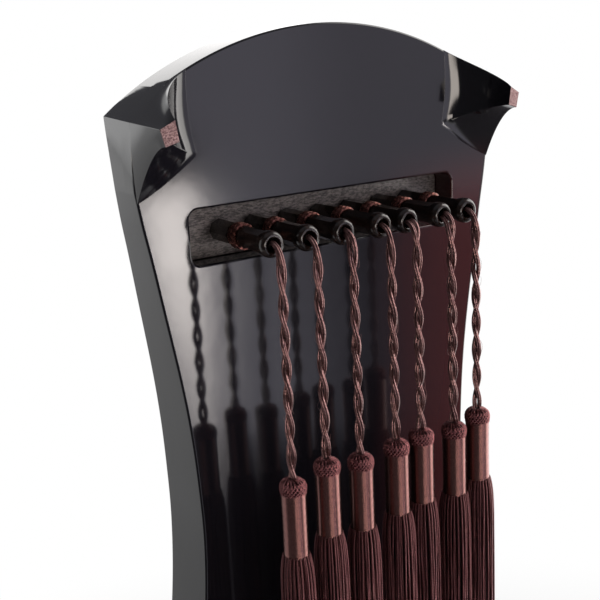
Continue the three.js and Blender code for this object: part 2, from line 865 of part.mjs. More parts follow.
// A hanging cord in its own frame: it leaves the peg's mouth at zero and bends straight down
function hangingCord(length) {
  const points = [v3(0, cordInside, 0)];
  for (const [out, down] of cordBendShares) {
    points.push(v3(0, -cordStandOff * out, -cordStandOff * down));
  }
  const bendEnd = points.at(-1).z;
  for (let i = 1; i <= cordStretches; i += 1) {
    points.push(v3(0, -cordStandOff, lerp(bendEnd, -length + seatGap, i / cordStretches)));
  }
  return tube(points, cordDiameter / 2, cordSides);
}

// A tassel in the cord's frame, its cap at the cord's end: cap, bound neck and spreading skirt
function tassel(length) {
  const profile = [[0, 0]];
  for (const [out, down] of capDomeShares) {
    profile.push([tasselCapRadius * out, -tasselCapHeight * down]);
  }
  const neckTop = -tasselCapHeight;
  const neckEnd = neckTop - tasselNeckLength;
  profile.push([tasselNeckRadius, neckTop]);
  profile.push([tasselNeckRadius, neckEnd]);
  for (const [down, out] of skirtFlareShares) {
    profile.push([tasselSkirtRadius * out, neckEnd - tasselSkirtLength * down]);
  }
  profile.push([0, neckEnd - tasselSkirtLength]);
  const geometry = turned(profile, tasselSides);
  geometry.rotateX(Math.PI / 2);
  return geometry.translate(0, -cordStandOff, -length);
}

// Strings and the silk loops that tie them to the pegs

function silkLoop(index) {
  const x = pegX(index);
  const overBridgeY = bridgeTopY(x) + loopRadius + seatGap;
  const stripY = topY(x, pegFromHead) + stripRise;
  const point = (y, fromHead) => v3(x, y, zAt(fromHead));
  const riseEnd = point(overBridgeY - loopRadius, bridgeStart - loopRadius);
  return tube([
    point(slotFloorY + seatGap, pegFromHead),
    point(slotPlateTopY + loopRadius, pegFromHead),
    point(stripY, pegFromHead),
    point(stripY + loopRadius, pegFromHead + loopRadius / 2),
    riseEnd,
    point(overBridgeY, bridgeStart),
    point(overBridgeY, bridgeEnd),
    point(overBridgeY, bridgeEnd + loopPastBridge),
  ], loopRadius, stringSides);
}

const stringRadius = (index) => lerp(thickestString, thinnestString, index / (stringCount - 1)) / 2;
const stringFoot = (index) => (pegX(index) >= 0 ? 1 : -1);

function string(index) {
  const radius = stringRadius(index);
  const clear = radius + seatGap;
  const startX = pegX(index);
  const nutX = startX * stringSpacingAtNut / pegSpacing;
  const bridgeY = bridgeTopY(startX) + loopRadius + seatGap;
  const nutMiddle = nutStart + nutThickness / 2;
  const nutMiddleY = nutTopY(nutX, nutMiddle) + clear;
  const nutEndY = nutTopY(nutX, nutEnd);
  const endZ = zAt(nutEnd);
  const turn = clear / 2;
  const supportY = backY - supportRise;
  const sideOfFoot = stringFoot(index);
  const wrapX = sideOfFoot * (footX - (wrapOuter + clear) * Math.cos(Math.PI / footSides));
  const wrapY = lerp(wrapTopY, wrapLowY, (Math.abs(nutX) / stringSpacingAtNut + 1) / stringCount * 2);
  return tube([
    v3(startX, bridgeY, zAt(bridgeEnd + loopPastBridge + seatGap)),
    v3(nutX, nutMiddleY, zAt(nutMiddle)),
    v3(nutX, nutEndY + clear, endZ - turn),
    v3(nutX, nutEndY + turn, endZ - clear),
    v3(nutX, supportY - turn, endZ - clear),
    v3(nutX, supportY - clear, endZ - turn),
    v3(nutX, supportY - clear, zAt(nutStart)),
    v3(wrapX, wrapY, zAt(feetFromHead) - wrapOuter),
  ], radius, stringSides);
}

// The instrument

const guqin = new THREE.Group();

function add(name, geometry, material, parent = guqin) {
  const mesh = new THREE.Mesh(geometry, material);
  mesh.name = name;
  parent.add(mesh);
  return mesh;
}

function addPair(name, geometry, material) {
  add(`${name}_right`, geometry, material);
  add(`${name}_left`, mirrored(geometry), material);
}

add('top_board', topBoard(), lacquer);
add('bottom_board', bottomBoard(), lacquer);
add('peg_slot_plate', slotPlate(), slotWood);
add('string_hole_strip', holeStrip(), ebony);
add('bridge', bridge(), ebony);
add('nut', nut(), ebony);
add('tail_support', tailSupport(), ebony);
add('sound_post_head', post(headPostFromHead), bareWood);
add('sound_post_tail', post(tailPostFromHead), bareWood);
addPair('tail_cap', tailCap(), ebony);
addPair('foot', foot(), ebony);
addPair('string_wrap', stringWrap(), stringSilk);
addPair('peg_guard', pegGuard(), lacquer);

for (let i = 0; i < stringCount; i += 1) {
  const number = i + 1;
  const seat = new THREE.Group();
  const lean = THREE.MathUtils.degToRad(pegLeanDegrees[i]);
  const seatLift = seatGap + pegCollarRadius * Math.sin(Math.abs(lean));
  seat.position.set(pegX(i), slotFloorY - seatLift, zAt(pegFromHead));
  seat.rotation.z = lean;
  guqin.add(seat);
  add(`peg_${number}`, peg(), pegWood, seat);
  add(`peg_winding_${number}`, tube(windingRoute, windingThread / 2, windingSides), silkThread, seat);

  const hanger = new THREE.Group();
  hanger.position.copy(v3(Math.sin(lean), -Math.cos(lean), 0).multiplyScalar(pegLength).add(seat.position));
  guqin.add(hanger);
  add(`tassel_cord_${number}`, hangingCord(cordLengths[i]), silkThread, hanger);
  add(`tassel_${number}`, tassel(cordLengths[i]), tasselSilk, hanger);

  add(`silk_loop_${number}`, silkLoop(i), silkThread);
  add(`string_${number}`, string(i), stringSilk);
}

export default guqin;
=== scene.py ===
"""Guqin seen from the back at its head end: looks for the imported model.

Shapes are worked out in millimetres and placed in metres. X runs across the board, Y from the
flat back to the strings, Z up to the head end; u is the distance down from the head's middle.
"""
import math
import random

import bmesh
import bpy
from mathutils import Matrix, Vector


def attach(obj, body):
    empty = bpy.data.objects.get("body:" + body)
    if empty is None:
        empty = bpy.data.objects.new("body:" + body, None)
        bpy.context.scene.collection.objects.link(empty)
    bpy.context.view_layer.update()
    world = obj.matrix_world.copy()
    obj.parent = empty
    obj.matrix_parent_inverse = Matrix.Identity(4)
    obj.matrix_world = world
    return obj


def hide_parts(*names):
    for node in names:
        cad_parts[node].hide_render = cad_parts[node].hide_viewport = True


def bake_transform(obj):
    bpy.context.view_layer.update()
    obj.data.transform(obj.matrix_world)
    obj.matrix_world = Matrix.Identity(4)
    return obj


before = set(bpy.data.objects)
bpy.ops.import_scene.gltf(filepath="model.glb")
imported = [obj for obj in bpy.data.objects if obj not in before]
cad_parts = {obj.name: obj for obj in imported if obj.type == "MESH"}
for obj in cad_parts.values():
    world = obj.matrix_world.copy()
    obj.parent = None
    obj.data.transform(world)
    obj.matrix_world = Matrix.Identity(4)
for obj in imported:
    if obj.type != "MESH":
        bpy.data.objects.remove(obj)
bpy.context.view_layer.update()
MM = 0.001

# Lengths along the body, from the head's middle
BRIDGE_AT = 108
STRING_LENGTH = 1121
TAIL_PAST_NUT = 13
BODY_LENGTH = BRIDGE_AT + STRING_LENGTH + TAIL_PAST_NUT
STUD_SHARES = [1 / 8, 1 / 6, 1 / 5, 1 / 4, 1 / 3, 2 / 5, 1 / 2, 3 / 5, 2 / 3, 3 / 4, 4 / 5, 5 / 6, 7 / 8]

# Outline, thickness and arch
HEAD_HALF, HEAD_CORNER_HALF, NECK_HALF, SHOULDER_HALF = 99.9, 101.4, 79.6, 105.5
BODY_END_HALF, TAIL_START_HALF, TAIL_HALF = 90, 85, 77
WAIST_DEPTH, HEAD_ARC = 12, 165
HEAD_THICK, BODY_THICK, TAIL_THICK = 42.5, 53, 40
HEAD_END_THICK = 24.5
ARCH, HEAD_ARCH = 230, 265
BACK_Y, SEAM_Y = -4.5, 4.5
SLOT_FLOOR_Y, PLATE_TOP_Y = 8, 11
NECK_SHARES = [(0.105, 1.0), (0.154, 0.89), (0.209, 0.74), (0.281, 0.562), (0.399, 0.276), (0.487, 0.118),
               (0.572, 0.034), (0.654, 0)]
FLARE_SHARES = [(0.739, 0.046), (0.82, 0.154), (0.886, 0.3), (0.925, 0.44), (0.951, 0.614),
                (0.977, 0.865), (1, 1)]
BODY_SHARES = [(0, 1), (0.03, 1.01), (0.25, 0.86), (0.6, 0.46), (0.92, 0.1), (1, 0)]
WAIST_SHARES = [(0, 0), (0.05, 0.4), (0.15, 0.72), (0.32, 0.94), (0.5, 1), (0.68, 0.94), (0.85, 0.72),
                (0.95, 0.4), (1, 0)]
CAP_SHARES = [(0, 0.8), (0.08, 0.62), (0.2, 0.58), (0.3, 0.36), (0.44, 0.34), (0.56, 0.12), (0.72, 0.02),
              (1, 0)]

# Pegs, cords and tassels
STRINGS = 7
SLOT_TOP, SLOT_WIDTH, SLOT_HEIGHT, SLOT_CORNER = 77.4, 150, 25.4, 4.5
PEG_SPACING, PEG_LENGTH, PEG_FROM_HEAD = 18, 49.4, 90.3
PEG_LEANS = [-0.4, 2.8, 0.3, 3.6, 0.5, -0.3, -0.8]
CORD_DIAMETER, CORD_INSIDE, CORD_STAND_OFF = 5, 0.8, 4.9
CORD_LENGTHS = [97.6, 101.3, 99.6, 101, 102.7, 100, 104.7]
CORD_BEND_SHARES = [(0.18, 0.06), (0.6, 0.36), (0.87, 0.9), (0.98, 1.65), (1, 2.6)]
CORD_STRETCHES = 8
LOOP_HOLE_RADIUS = 3.2
SEAT_GAP = 0.3
STRAND_ANGLE = 60


def deselect():
    if bpy.context.object and bpy.context.object.mode != "OBJECT":
        bpy.ops.object.mode_set(mode="OBJECT")
    bpy.ops.object.select_all(action="DESELECT")


def take(obj):
    """Makes this the only selected object."""
    deselect()
    obj.select_set(True)
    bpy.context.view_layer.objects.active = obj


# Camera, fitted to the slot, the cords and the head's outline in the photograph
CAMERA_AT = (-0.282, -0.42309, 0.42978)
CAMERA_RIGHT = (0.84183, -0.53749, -0.04923)
CAMERA_FORWARD = (0.5122, 0.82431, -0.24117)
LENS, SENSOR_WIDTH = 64.235, 36
SHIFT_X, SHIFT_Y = 0.00757, -0.02187


def make_camera():
    camera = bpy.data.objects.new("camera", bpy.data.cameras.new("camera"))
    bpy.context.scene.collection.objects.link(camera)
    right = Vector(CAMERA_RIGHT).normalized()
    forward = Vector(CAMERA_FORWARD).normalized()
    up = right.cross(forward).normalized()
    turn = Matrix((right, up, -forward)).transposed()
    camera.matrix_world = Matrix.LocRotScale(Vector(CAMERA_AT), turn, None)
    camera.data.lens = LENS
    camera.data.sensor_width = SENSOR_WIDTH
    camera.data.shift_x = SHIFT_X
    camera.data.shift_y = SHIFT_Y
    camera.data.clip_start = 0.01
    bpy.context.scene.camera = camera


make_camera()


# Shader maths
class Link:
    """An output of a shader node. Sums and products on it add Math nodes."""

    def __init__(self, finish, socket):
        self.finish = finish
        self.socket = socket

    def maths(self, operation, first, second):
        return self.finish.node("ShaderNodeMath", {"operation": operation}, {0: first, 1: second}, "Value")

    def __add__(self, other):
        return self.maths("ADD", self, other)

    def __sub__(self, other):
        return self.maths("SUBTRACT", self, other)

    def __rsub__(self, other):
        return self.maths("SUBTRACT", other, self)

    def __mul__(self, other):
        return self.maths("MULTIPLY", self, other)

    def __truediv__(self, other):
        return self.maths("DIVIDE", self, other)

    def __pow__(self, other):
        return self.maths("POWER", self, other)

    def __gt__(self, other):
        return self.maths("GREATER_THAN", self, other)

    __radd__ = __add__
    __rmul__ = __mul__


class Nodes:
    """The nodes of a material or of the world, added by value and link."""

    def __init__(self, tree):
        self.tree = tree

    def node(self, kind, settings, sockets, output):
        made = self.tree.nodes.new(kind)
        for key, value in settings.items():
            if key == "stops":
                self.set_stops(made.color_ramp, value)
            else:
                setattr(made, key, value)
        for key, value in sockets.items():
            if isinstance(value, Link):
                self.tree.links.new(value.socket, made.inputs[key])
            else:
                made.inputs[key].default_value = value
        return Link(self, made.outputs[output])

    def set_stops(self, ramp, stops):
        while len(ramp.elements) < len(stops):
            ramp.elements.new(1.0)
        for element, (place, colour) in zip(ramp.elements, stops):
            element.position = place
            element.color = (*colour, 1) if isinstance(colour, tuple) else (colour, colour, colour, 1)

    def place(self, scale=(1, 1, 1)):
        here = self.node("ShaderNodeTexCoord", {}, {}, "Object")
        return self.node("ShaderNodeMapping", {}, {"Vector": here, "Scale": scale}, "Vector")

    def along_strand(self, turns, lengths):
        """Diagonal bands round a strand, from its own UV map."""
        here = self.node("ShaderNodeUVMap", {"uv_map": "UVMap"}, {}, "UV")
        along, around = (self.node("ShaderNodeSeparateXYZ", {}, {"Vector": here}, name) for name in "XY")
        angle = (along * lengths + around * turns) * (2 * math.pi)
        return self.node("ShaderNodeMath", {"operation": "SINE"}, {0: angle}, "Value") * 0.5 + 0.5

    def axis(self, name):
        here = self.node("ShaderNodeTexCoord", {}, {}, "Object")
        return self.node("ShaderNodeSeparateXYZ", {}, {"Vector": here}, name)

    def size(self, value):
        return self.node("ShaderNodeMath", {"operation": "ABSOLUTE"}, {0: value}, "Value")

    def noise(self, vector, scale=1.0, detail=2.0, rough=0.5):
        return self.node("ShaderNodeTexNoise", {}, {
            "Vector": vector, "Scale": scale, "Detail": detail, "Roughness": rough}, "Fac")

    def between(self, value, low, high):
        """A soft step from 0 at low to 1 at high."""
        return self.node("ShaderNodeMapRange", {"interpolation_type": "SMOOTHSTEP"}, {
            "Value": value, "From Min": low, "From Max": high}, "Result")

    def mix(self, factor, first, second):
        def colour(value):
            return value if isinstance(value, Link) else (*value, 1)
        return self.node("ShaderNodeMix", {"data_type": "RGBA"}, {
            "Factor": factor, 6: colour(first), 7: colour(second)}, 2)

    def ramp(self, factor, stops):
        return self.node("ShaderNodeValToRGB", {"stops": stops}, {"Fac": factor}, "Color")


class Finish(Nodes):
    """A node material with one Principled shader, built from links and values."""

    def __init__(self, name, **constants):
        self.material = bpy.data.materials.new(name)
        self.material.use_nodes = True
        super().__init__(self.material.node_tree)
        self.shader = self.tree.nodes["Principled BSDF"]
        for socket, value in constants.items():
            self.shader.inputs[socket.replace("_", " ").title().replace("Ior", "IOR")].default_value = value

    def feed(self, socket, link):
        self.tree.links.new(link.socket, self.shader.inputs[socket])

    def bump(self, height, distance):
        bump = self.node("ShaderNodeBump", {}, {"Height": height, "Distance": distance}, "Normal")
        self.feed("Normal", bump)


# Outline of the boards
def lerp(first, last, share):
    return first + (last - first) * share


def stud_at(number):
    return BRIDGE_AT + STRING_LENGTH * STUD_SHARES[number - 1]


POOL_MIDDLE, POOL_LENGTH, POOL_WIDTH = (stud_at(4) + stud_at(7)) / 2, 200, 26
POND_MIDDLE, POND_LENGTH, POND_WIDTH = (stud_at(10) + stud_at(13)) / 2, 112, 25
HEAD_Z = POOL_MIDDLE - POOL_LENGTH / 2


def head_arc_at(x):
    return HEAD_ARC - math.sqrt(HEAD_ARC ** 2 - x ** 2)


CORNER_AT = head_arc_at(HEAD_CORNER_HALF)
SHOULDER_AT = stud_at(3) + SHOULDER_HALF - HEAD_HALF
FLARE_END = lerp(CORNER_AT, SHOULDER_AT, NECK_SHARES[0][0])


def spline(points, steps):
    """Points on the smooth curve through these, evenly spread over its stretches."""
    found = []
    last = len(points) - 1
    for step in range(steps + 1):
        place = last * step / steps
        index = min(int(place), last)
        share = place - index
        before, here = points[max(index - 1, 0)], points[index]
        after, beyond = points[min(index + 1, last)], points[min(index + 2, last)]
        found.append(tuple(
            (2 * b - 2 * c + (c - a) / 2 + (d - b) / 2) * share ** 3
            + (3 * c - 3 * b - (c - a) - (d - b) / 2) * share ** 2
            + (c - a) / 2 * share + b
            for a, b, c, d in zip(before, here, after, beyond)))
    return found


def make_side():
    """One side of the outline as (half width, u), finely stepped."""
    angle, arc_steps = math.asin(HEAD_CORNER_HALF / HEAD_ARC), 40
    turns = [angle * i / arc_steps for i in range(arc_steps + 1)]
    arc = [(HEAD_ARC * math.sin(turn), HEAD_ARC * (1 - math.cos(turn))) for turn in turns]
    neck = [(lerp(NECK_HALF, half, out), lerp(CORNER_AT, SHOULDER_AT, along))
            for half, shares in ((HEAD_HALF, NECK_SHARES), (SHOULDER_HALF, FLARE_SHARES))
            for along, out in shares]
    body = [(lerp(BODY_END_HALF, SHOULDER_HALF, out), lerp(SHOULDER_AT, stud_at(8), along))
            for along, out in BODY_SHARES]
    waist = [(lerp(BODY_END_HALF, TAIL_START_HALF, along) - WAIST_DEPTH * inwards,
              lerp(stud_at(8), stud_at(11), along)) for along, inwards in WAIST_SHARES]
    smooth_lines = [*spline(neck, 112), *spline(body, 60)[1:], *spline(waist, 64)[1:]]
    return [*arc, *smooth_lines, (TAIL_HALF, BODY_LENGTH)]


SIDE = make_side()


def half_width(u):
    for (x1, u1), (x2, u2) in zip(SIDE, SIDE[1:]):
        if u1 <= u <= u2 and u2 > u1:
            return lerp(x1, x2, (u - u1) / (u2 - u1))
    return SIDE[-1][0]


def crown(u):
    if u < stud_at(4):
        return lerp(HEAD_THICK, BODY_THICK, math.sin(math.pi / 2 * max(u, 0) / stud_at(4)))
    share = min((u - stud_at(4)) / (BODY_LENGTH - stud_at(4)), 1)
    return lerp(TAIL_THICK, BODY_THICK, (1 + math.cos(math.pi * share)) / 2)


def top_y(x, u):
    flatness = (FLARE_END - u) / (FLARE_END - CORNER_AT)
    radius = lerp(ARCH, HEAD_ARCH, min(max(flatness, 0), 1))
    arched = BACK_Y + crown(u) - radius + math.sqrt(max(radius ** 2 - x ** 2, 0))
    # Over the forehead the top falls away to a thin and flat end
    edge = head_arc_at(min(abs(x), HEAD_CORNER_HALF))
    share = min(max((u - edge) / (FLARE_END - edge), 0), 1)
    return lerp(BACK_Y + HEAD_END_THICK, arched, math.sin(math.pi / 2 * share))


def at(x, y, u):
    """A place in metres, from millimetres across, outwards and down from the head."""
    return Vector((x, y, HEAD_Z - u)) * MM


# Modelling helpers
def choose(test, kind="faces"):
    """In edit mode, selects only the faces or edges that pass the test."""
    mesh = bmesh.from_edit_mesh(bpy.context.object.data)
    bpy.ops.mesh.select_mode(type={"faces": "FACE", "edges": "EDGE"}[kind])
    bpy.ops.mesh.select_all(action="DESELECT")
    for element in getattr(mesh, kind):
        if test(element):
            element.select_set(True)
    mesh.select_flush_mode()
    bmesh.update_edit_mesh(bpy.context.object.data)


def edit(obj):
    take(obj)
    bpy.ops.object.mode_set(mode="EDIT")


def mend():
    """In edit mode, merges points that meet and turns every face outwards."""
    bpy.ops.mesh.select_all(action="SELECT")
    bpy.ops.mesh.remove_doubles(threshold=1e-6)
    bpy.ops.mesh.normals_make_consistent(inside=False)


def apply_modifier(obj, kind, **settings):
    take(obj)
    modifier = obj.modifiers.new(kind.lower(), kind)
    for key, value in settings.items():
        setattr(modifier, key, value)
    bpy.ops.object.modifier_apply(modifier=modifier.name)


def smooth(obj, degrees=30):
    take(obj)
    bpy.ops.object.shade_smooth_by_angle(angle=math.radians(degrees))


def firm_normals(obj):
    """Smooth shading that keeps large flat faces flat."""
    smooth(obj, 40)
    apply_modifier(obj, "WEIGHTED_NORMAL", keep_sharp=True, weight=100)


def to_mesh(obj):
    take(obj)
    bpy.ops.object.convert(target="MESH")
    return bpy.context.object


def settle(obj, name, finish, slot, body, *nodes):
    """Names a finished piece, gives it its finish, its body and the nodes that it stands for."""
    obj.name = name
    obj.data.name = name
    if finish is not None:
        obj.data.materials.clear()
        obj.data.materials.append(finish)
    take(obj)
    bpy.ops.object.transform_apply(location=True, rotation=True, scale=True)
    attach(obj, body)
    if nodes:
        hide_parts(*nodes)
    return obj


def curve_object(name, curve):
    obj = bpy.data.objects.new(name, curve)
    bpy.context.scene.collection.objects.link(obj)
    return obj


def poly_curve(name, lines, radius, sides_step=1, caps=True):
    """A curve object with one straight-pointed line per list of places in metres."""
    curve = bpy.data.curves.new(name, "CURVE")
    curve.dimensions = "3D"
    curve.bevel_depth = radius
    curve.bevel_resolution = sides_step
    curve.use_fill_caps = caps
    for line in lines:
        strand = curve.splines.new("POLY")
        strand.points.add(len(line) - 1)
        for point, place in zip(strand.points, line):
            point.co = (*place, 1)
    return curve_object(name, curve)


def strands(name, lines, radius, sides_step=1):
    """Round strands along lines in metres, their radius in millimetres."""
    return to_mesh(poly_curve(name, lines, radius * MM, sides_step))


def plate(name, outlines, low, high, rounding=0.0, steps=3):
    """A board between two Y places, from closed outlines of (x, u); the later ones are holes."""
    curve = bpy.data.curves.new(name, "CURVE")
    curve.dimensions = "2D"
    curve.fill_mode = "BOTH"
    curve.extrude = ((high - low) / 2 - rounding) * MM
    curve.bevel_depth = rounding * MM
    curve.bevel_resolution = steps
    curve.offset = -rounding * MM
    for outline in outlines:
        line = curve.splines.new("POLY")
        line.points.add(len(outline) - 1)
        for point, (x, u) in zip(line.points, outline):
            point.co = (x * MM, (HEAD_Z - u) * MM, 0, 1)
        line.use_cyclic_u = True
    obj = curve_object(name, curve)
    middle = Matrix.Translation((0, (low + high) / 2 * MM, 0))
    obj.matrix_world = middle @ Matrix.Rotation(math.pi / 2, 4, "X")
    to_mesh(obj)
    bpy.ops.object.transform_apply(location=True, rotation=True, scale=True)
    edit(obj)
    mend()
    choose(lambda face: abs(face.normal.y) > 0.9999)
    bpy.ops.mesh.dissolve_limited(angle_limit=0.001, use_dissolve_boundaries=False)
    bpy.ops.object.mode_set(mode="OBJECT")
    return obj


def bisect(obj, place, normal, clear_outer=False):
    """Cuts the mesh on a plane; with clear_outer the side that the normal points to goes."""
    edit(obj)
    bpy.ops.mesh.select_all(action="SELECT")
    bpy.ops.mesh.bisect(plane_co=place, plane_no=normal, use_fill=clear_outer, clear_outer=clear_outer,
                        threshold=1e-7)
    bpy.ops.object.mode_set(mode="OBJECT")


def divide_across(obj, first, last, count):
    """Even cuts between two places across the board, so that its faces can follow the arch."""
    for i in range(1, count):
        bisect(obj, at(lerp(first, last, i / count), 0, 0), (1, 0, 0))


def divide_along(obj, places):
    for u in places:
        bisect(obj, at(0, 0, u), (0, 0, 1))


def set_heights(obj, test, height):
    """Moves the points whose Y passes the test to the Y that height gives for (x, y, u)."""
    edit(obj)
    mesh = bmesh.from_edit_mesh(obj.data)
    for vertex in mesh.verts:
        x, y, z = vertex.co / MM
        if test(y):
            vertex.co.y = height(x, y, HEAD_Z - z) * MM
    bmesh.update_edit_mesh(obj.data)
    bpy.ops.object.mode_set(mode="OBJECT")


def cut(obj, tool, transfer=False, operation="DIFFERENCE"):
    apply_modifier(obj, "BOOLEAN", operation=operation, object=tool, solver="EXACT",
                   material_mode="TRANSFER" if transfer else "INDEX")
    bpy.data.objects.remove(tool)


def spun(name, line, steps, centre, axis):
    """A closed solid from a line of places in metres, spun about an axis through the centre."""
    obj = to_mesh(poly_curve(name, [line], 0.0, caps=False))
    edit(obj)
    bpy.ops.mesh.select_all(action="SELECT")
    bpy.ops.mesh.spin(steps=steps, angle=2 * math.pi, center=centre, axis=axis)
    mend()
    bpy.ops.object.mode_set(mode="OBJECT")
    return obj


def turned(name, profile, steps, origin=(0, 0, 0)):
    """A turned piece about a Y axis through the origin given, from (radius, y) in millimetres."""
    line = [Vector(origin) + Vector((radius, y, 0)) * MM for radius, y in profile]
    return spun(name, line, steps, origin, (0, 1, 0))


def copied(obj, matrix):
    other = obj.copy()
    other.data = obj.data.copy()
    bpy.context.scene.collection.objects.link(other)
    other.data.transform(matrix)
    return other


def joined(objects, name):
    deselect()
    for obj in objects:
        obj.select_set(True)
    bpy.context.view_layer.objects.active = objects[0]
    bpy.ops.object.join()
    objects[0].name = name
    return objects[0]


def rounded_box(width, top, bottom, radius, steps=6):
    points = []
    for side_x, side_u, quarter in ((1, -1, 0), (-1, -1, 1), (-1, 1, 2), (1, 1, 3)):
        x = side_x * (width / 2 - radius)
        u = top + radius if side_u < 0 else bottom - radius
        for i in range(steps + 1):
            angle = math.pi / 2 * (quarter + i / steps)
            points.append((x + radius * math.cos(angle), u - radius * math.sin(angle)))
    return points


def lofted(name, rings):
    """A solid through rings of places in metres, extruded ring by ring from a flat polygon."""
    deselect()
    bpy.ops.mesh.primitive_circle_add(vertices=len(rings[0]), radius=MM, fill_type="NGON")
    obj = bpy.context.object
    obj.name = name
    edit(obj)
    mesh = bmesh.from_edit_mesh(obj.data)
    for vertex, place in zip(mesh.verts, rings[0]):
        vertex.co = place
    bmesh.update_edit_mesh(obj.data)
    for before, ring in zip(rings, rings[1:]):
        bpy.ops.mesh.extrude_region_move()
        mesh = bmesh.from_edit_mesh(obj.data)
        for vertex in [v for v in mesh.verts if v.select]:
            nearest = min(range(len(before)), key=lambda i: (before[i] - vertex.co).length_squared)
            vertex.co = ring[nearest]
        bmesh.update_edit_mesh(obj.data)
    bpy.ops.mesh.select_all(action="SELECT")
    bpy.ops.mesh.normals_make_consistent(inside=False)
    bpy.ops.object.mode_set(mode="OBJECT")
    return obj


def bar_over_arch(name, start, end, half, low, high, rounding, stations=40):
    """A rounded bar across the board from start to end. Low and high give its Y from x and u."""
    rings = []
    for i in range(stations + 1):
        x = lerp(-half, half, i / stations)
        ring = []
        for u, edge, quarter in ((end, high, 0), (start, high, 1), (start, low, 2), (end, low, 3)):
            inwards_u = -rounding if u == end else rounding
            inwards_y = -rounding if edge is high else rounding
            for step in range(4):
                angle = math.pi / 2 * (quarter + step / 3)
                ring.append(at(
                    x,
                    edge(x, u) + inwards_y + rounding * math.sin(angle),
                    u + inwards_u + rounding * math.cos(angle)))
        rings.append(ring)
    obj = lofted(name, rings)
    edit(obj)
    choose(lambda edge: all(abs(abs(v.co.x) - half * MM) < 1e-7 for v in edge.verts), "edges")
    bpy.ops.mesh.bevel(offset=min(rounding, 0.8) * MM, segments=3)
    bpy.ops.object.mode_set(mode="OBJECT")
    return obj


# Boards. Each runs past the seam by the overrun and is cut there; a cap is where its top lies at first
OVERRUN = 4
BODY_OUTLINE = SIDE + [(-x, u) for x, u in reversed(SIDE[1:])]
SLOT_OUTLINE = rounded_box(SLOT_WIDTH, SLOT_TOP, SLOT_TOP + SLOT_HEIGHT, SLOT_CORNER)
SOUND_HOLES = [(POOL_MIDDLE, POOL_LENGTH, POOL_WIDTH), (POND_MIDDLE, POND_LENGTH, POND_WIDTH)]
HOLE_CORNER = 6
FEET_AT, FOOT_X, FOOT_HOLE_RADIUS = (stud_at(9) + stud_at(10)) / 2, 42, 6.3
BACK_ROUNDING, TOP_ROUNDING = 1.1, 1.6
TOP_CAP_Y = 60
TOP_DIVIDED_TO = 108
TOP_STATIONS = [8, 17, 26, CORNER_AT, 45, 56, FLARE_END] + [BODY_LENGTH * i / 31 for i in range(2, 31)]
GUARD_CUT_PLACE = (101.2, 22.9, 34.7)
GUARD_CUT_NORMALS = [(0.63, -0.094, 0.771), (0.997, -0.066, 0.03)]


def sound_hole(middle, length, width, grow=0):
    half = length / 2 + grow
    return rounded_box(width + 2 * grow, middle - half, middle + half, HOLE_CORNER + grow)


def circle(x, u, radius, steps=32):
    turns = [2 * math.pi * i / steps for i in range(steps)]
    return [(x + radius * math.cos(turn), u - radius * math.sin(turn)) for turn in turns]


def loop_hole(index, steps=32):
    return circle(peg_x(index), PEG_FROM_HEAD, LOOP_HOLE_RADIUS, steps)


def cut_guard_corners(obj):
    """Takes the corners of the head off on the planes of the guards' faces."""
    x, y, u = GUARD_CUT_PLACE
    for across_x, outwards, upwards in GUARD_CUT_NORMALS:
        for side in (1, -1):
            bisect(obj, at(side * x, y, u), (side * across_x, outwards, upwards), clear_outer=True)


def make_bottom_board():
    holes = [SLOT_OUTLINE, *[sound_hole(*hole) for hole in SOUND_HOLES]]
    holes += [circle(x, FEET_AT, FOOT_HOLE_RADIUS) for x in (FOOT_X, -FOOT_X)]
    board = plate("bottom_board_lacquered", [BODY_OUTLINE, *holes], BACK_Y, SEAM_Y + OVERRUN, BACK_ROUNDING)
    bisect(board, (0, SEAM_Y * MM, 0), (0, 1, 0), clear_outer=True)
    cut_guard_corners(board)
    firm_normals(board)
    settle(board, "bottom_board_lacquered", LACQUER, "lacquer", "root", "bottom_board")


def make_top_board():
    board = plate("top_board_lacquered", [BODY_OUTLINE], SEAM_Y - OVERRUN, TOP_CAP_Y, TOP_ROUNDING, steps=4)
    bisect(board, (0, SEAM_Y * MM, 0), (0, -1, 0), clear_outer=True)
    divide_across(board, -TOP_DIVIDED_TO, TOP_DIVIDED_TO, 27)
    divide_along(board, TOP_STATIONS)
    set_heights(board, lambda y: y > TOP_CAP_Y - TOP_ROUNDING - 1,
                lambda x, y, u: top_y(x, u) + y - TOP_CAP_Y)
    cut_guard_corners(board)
    hollow_out(board)
    firm_normals(board)
    settle(board, "top_board_lacquered", None, "lacquer", "root", "top_board")


# The hollow, the raised islands in it, and their distances from what is round them
HOLLOW_WALL, HOLLOW_ROOF = 13, 11
HOLLOW_PAST_BRIDGE, HOLLOW_BEFORE_TAIL = 42, 72
HOLLOW_CAP_Y, HOLLOW_DIVIDED_TO = 30, 105
ISLAND_RIM, ISLAND_ROUNDING, ISLAND_ROOF = 9, 2, 17
ISLAND_LOW_Y, ISLAND_CAP_Y = SEAM_Y + 20, 90


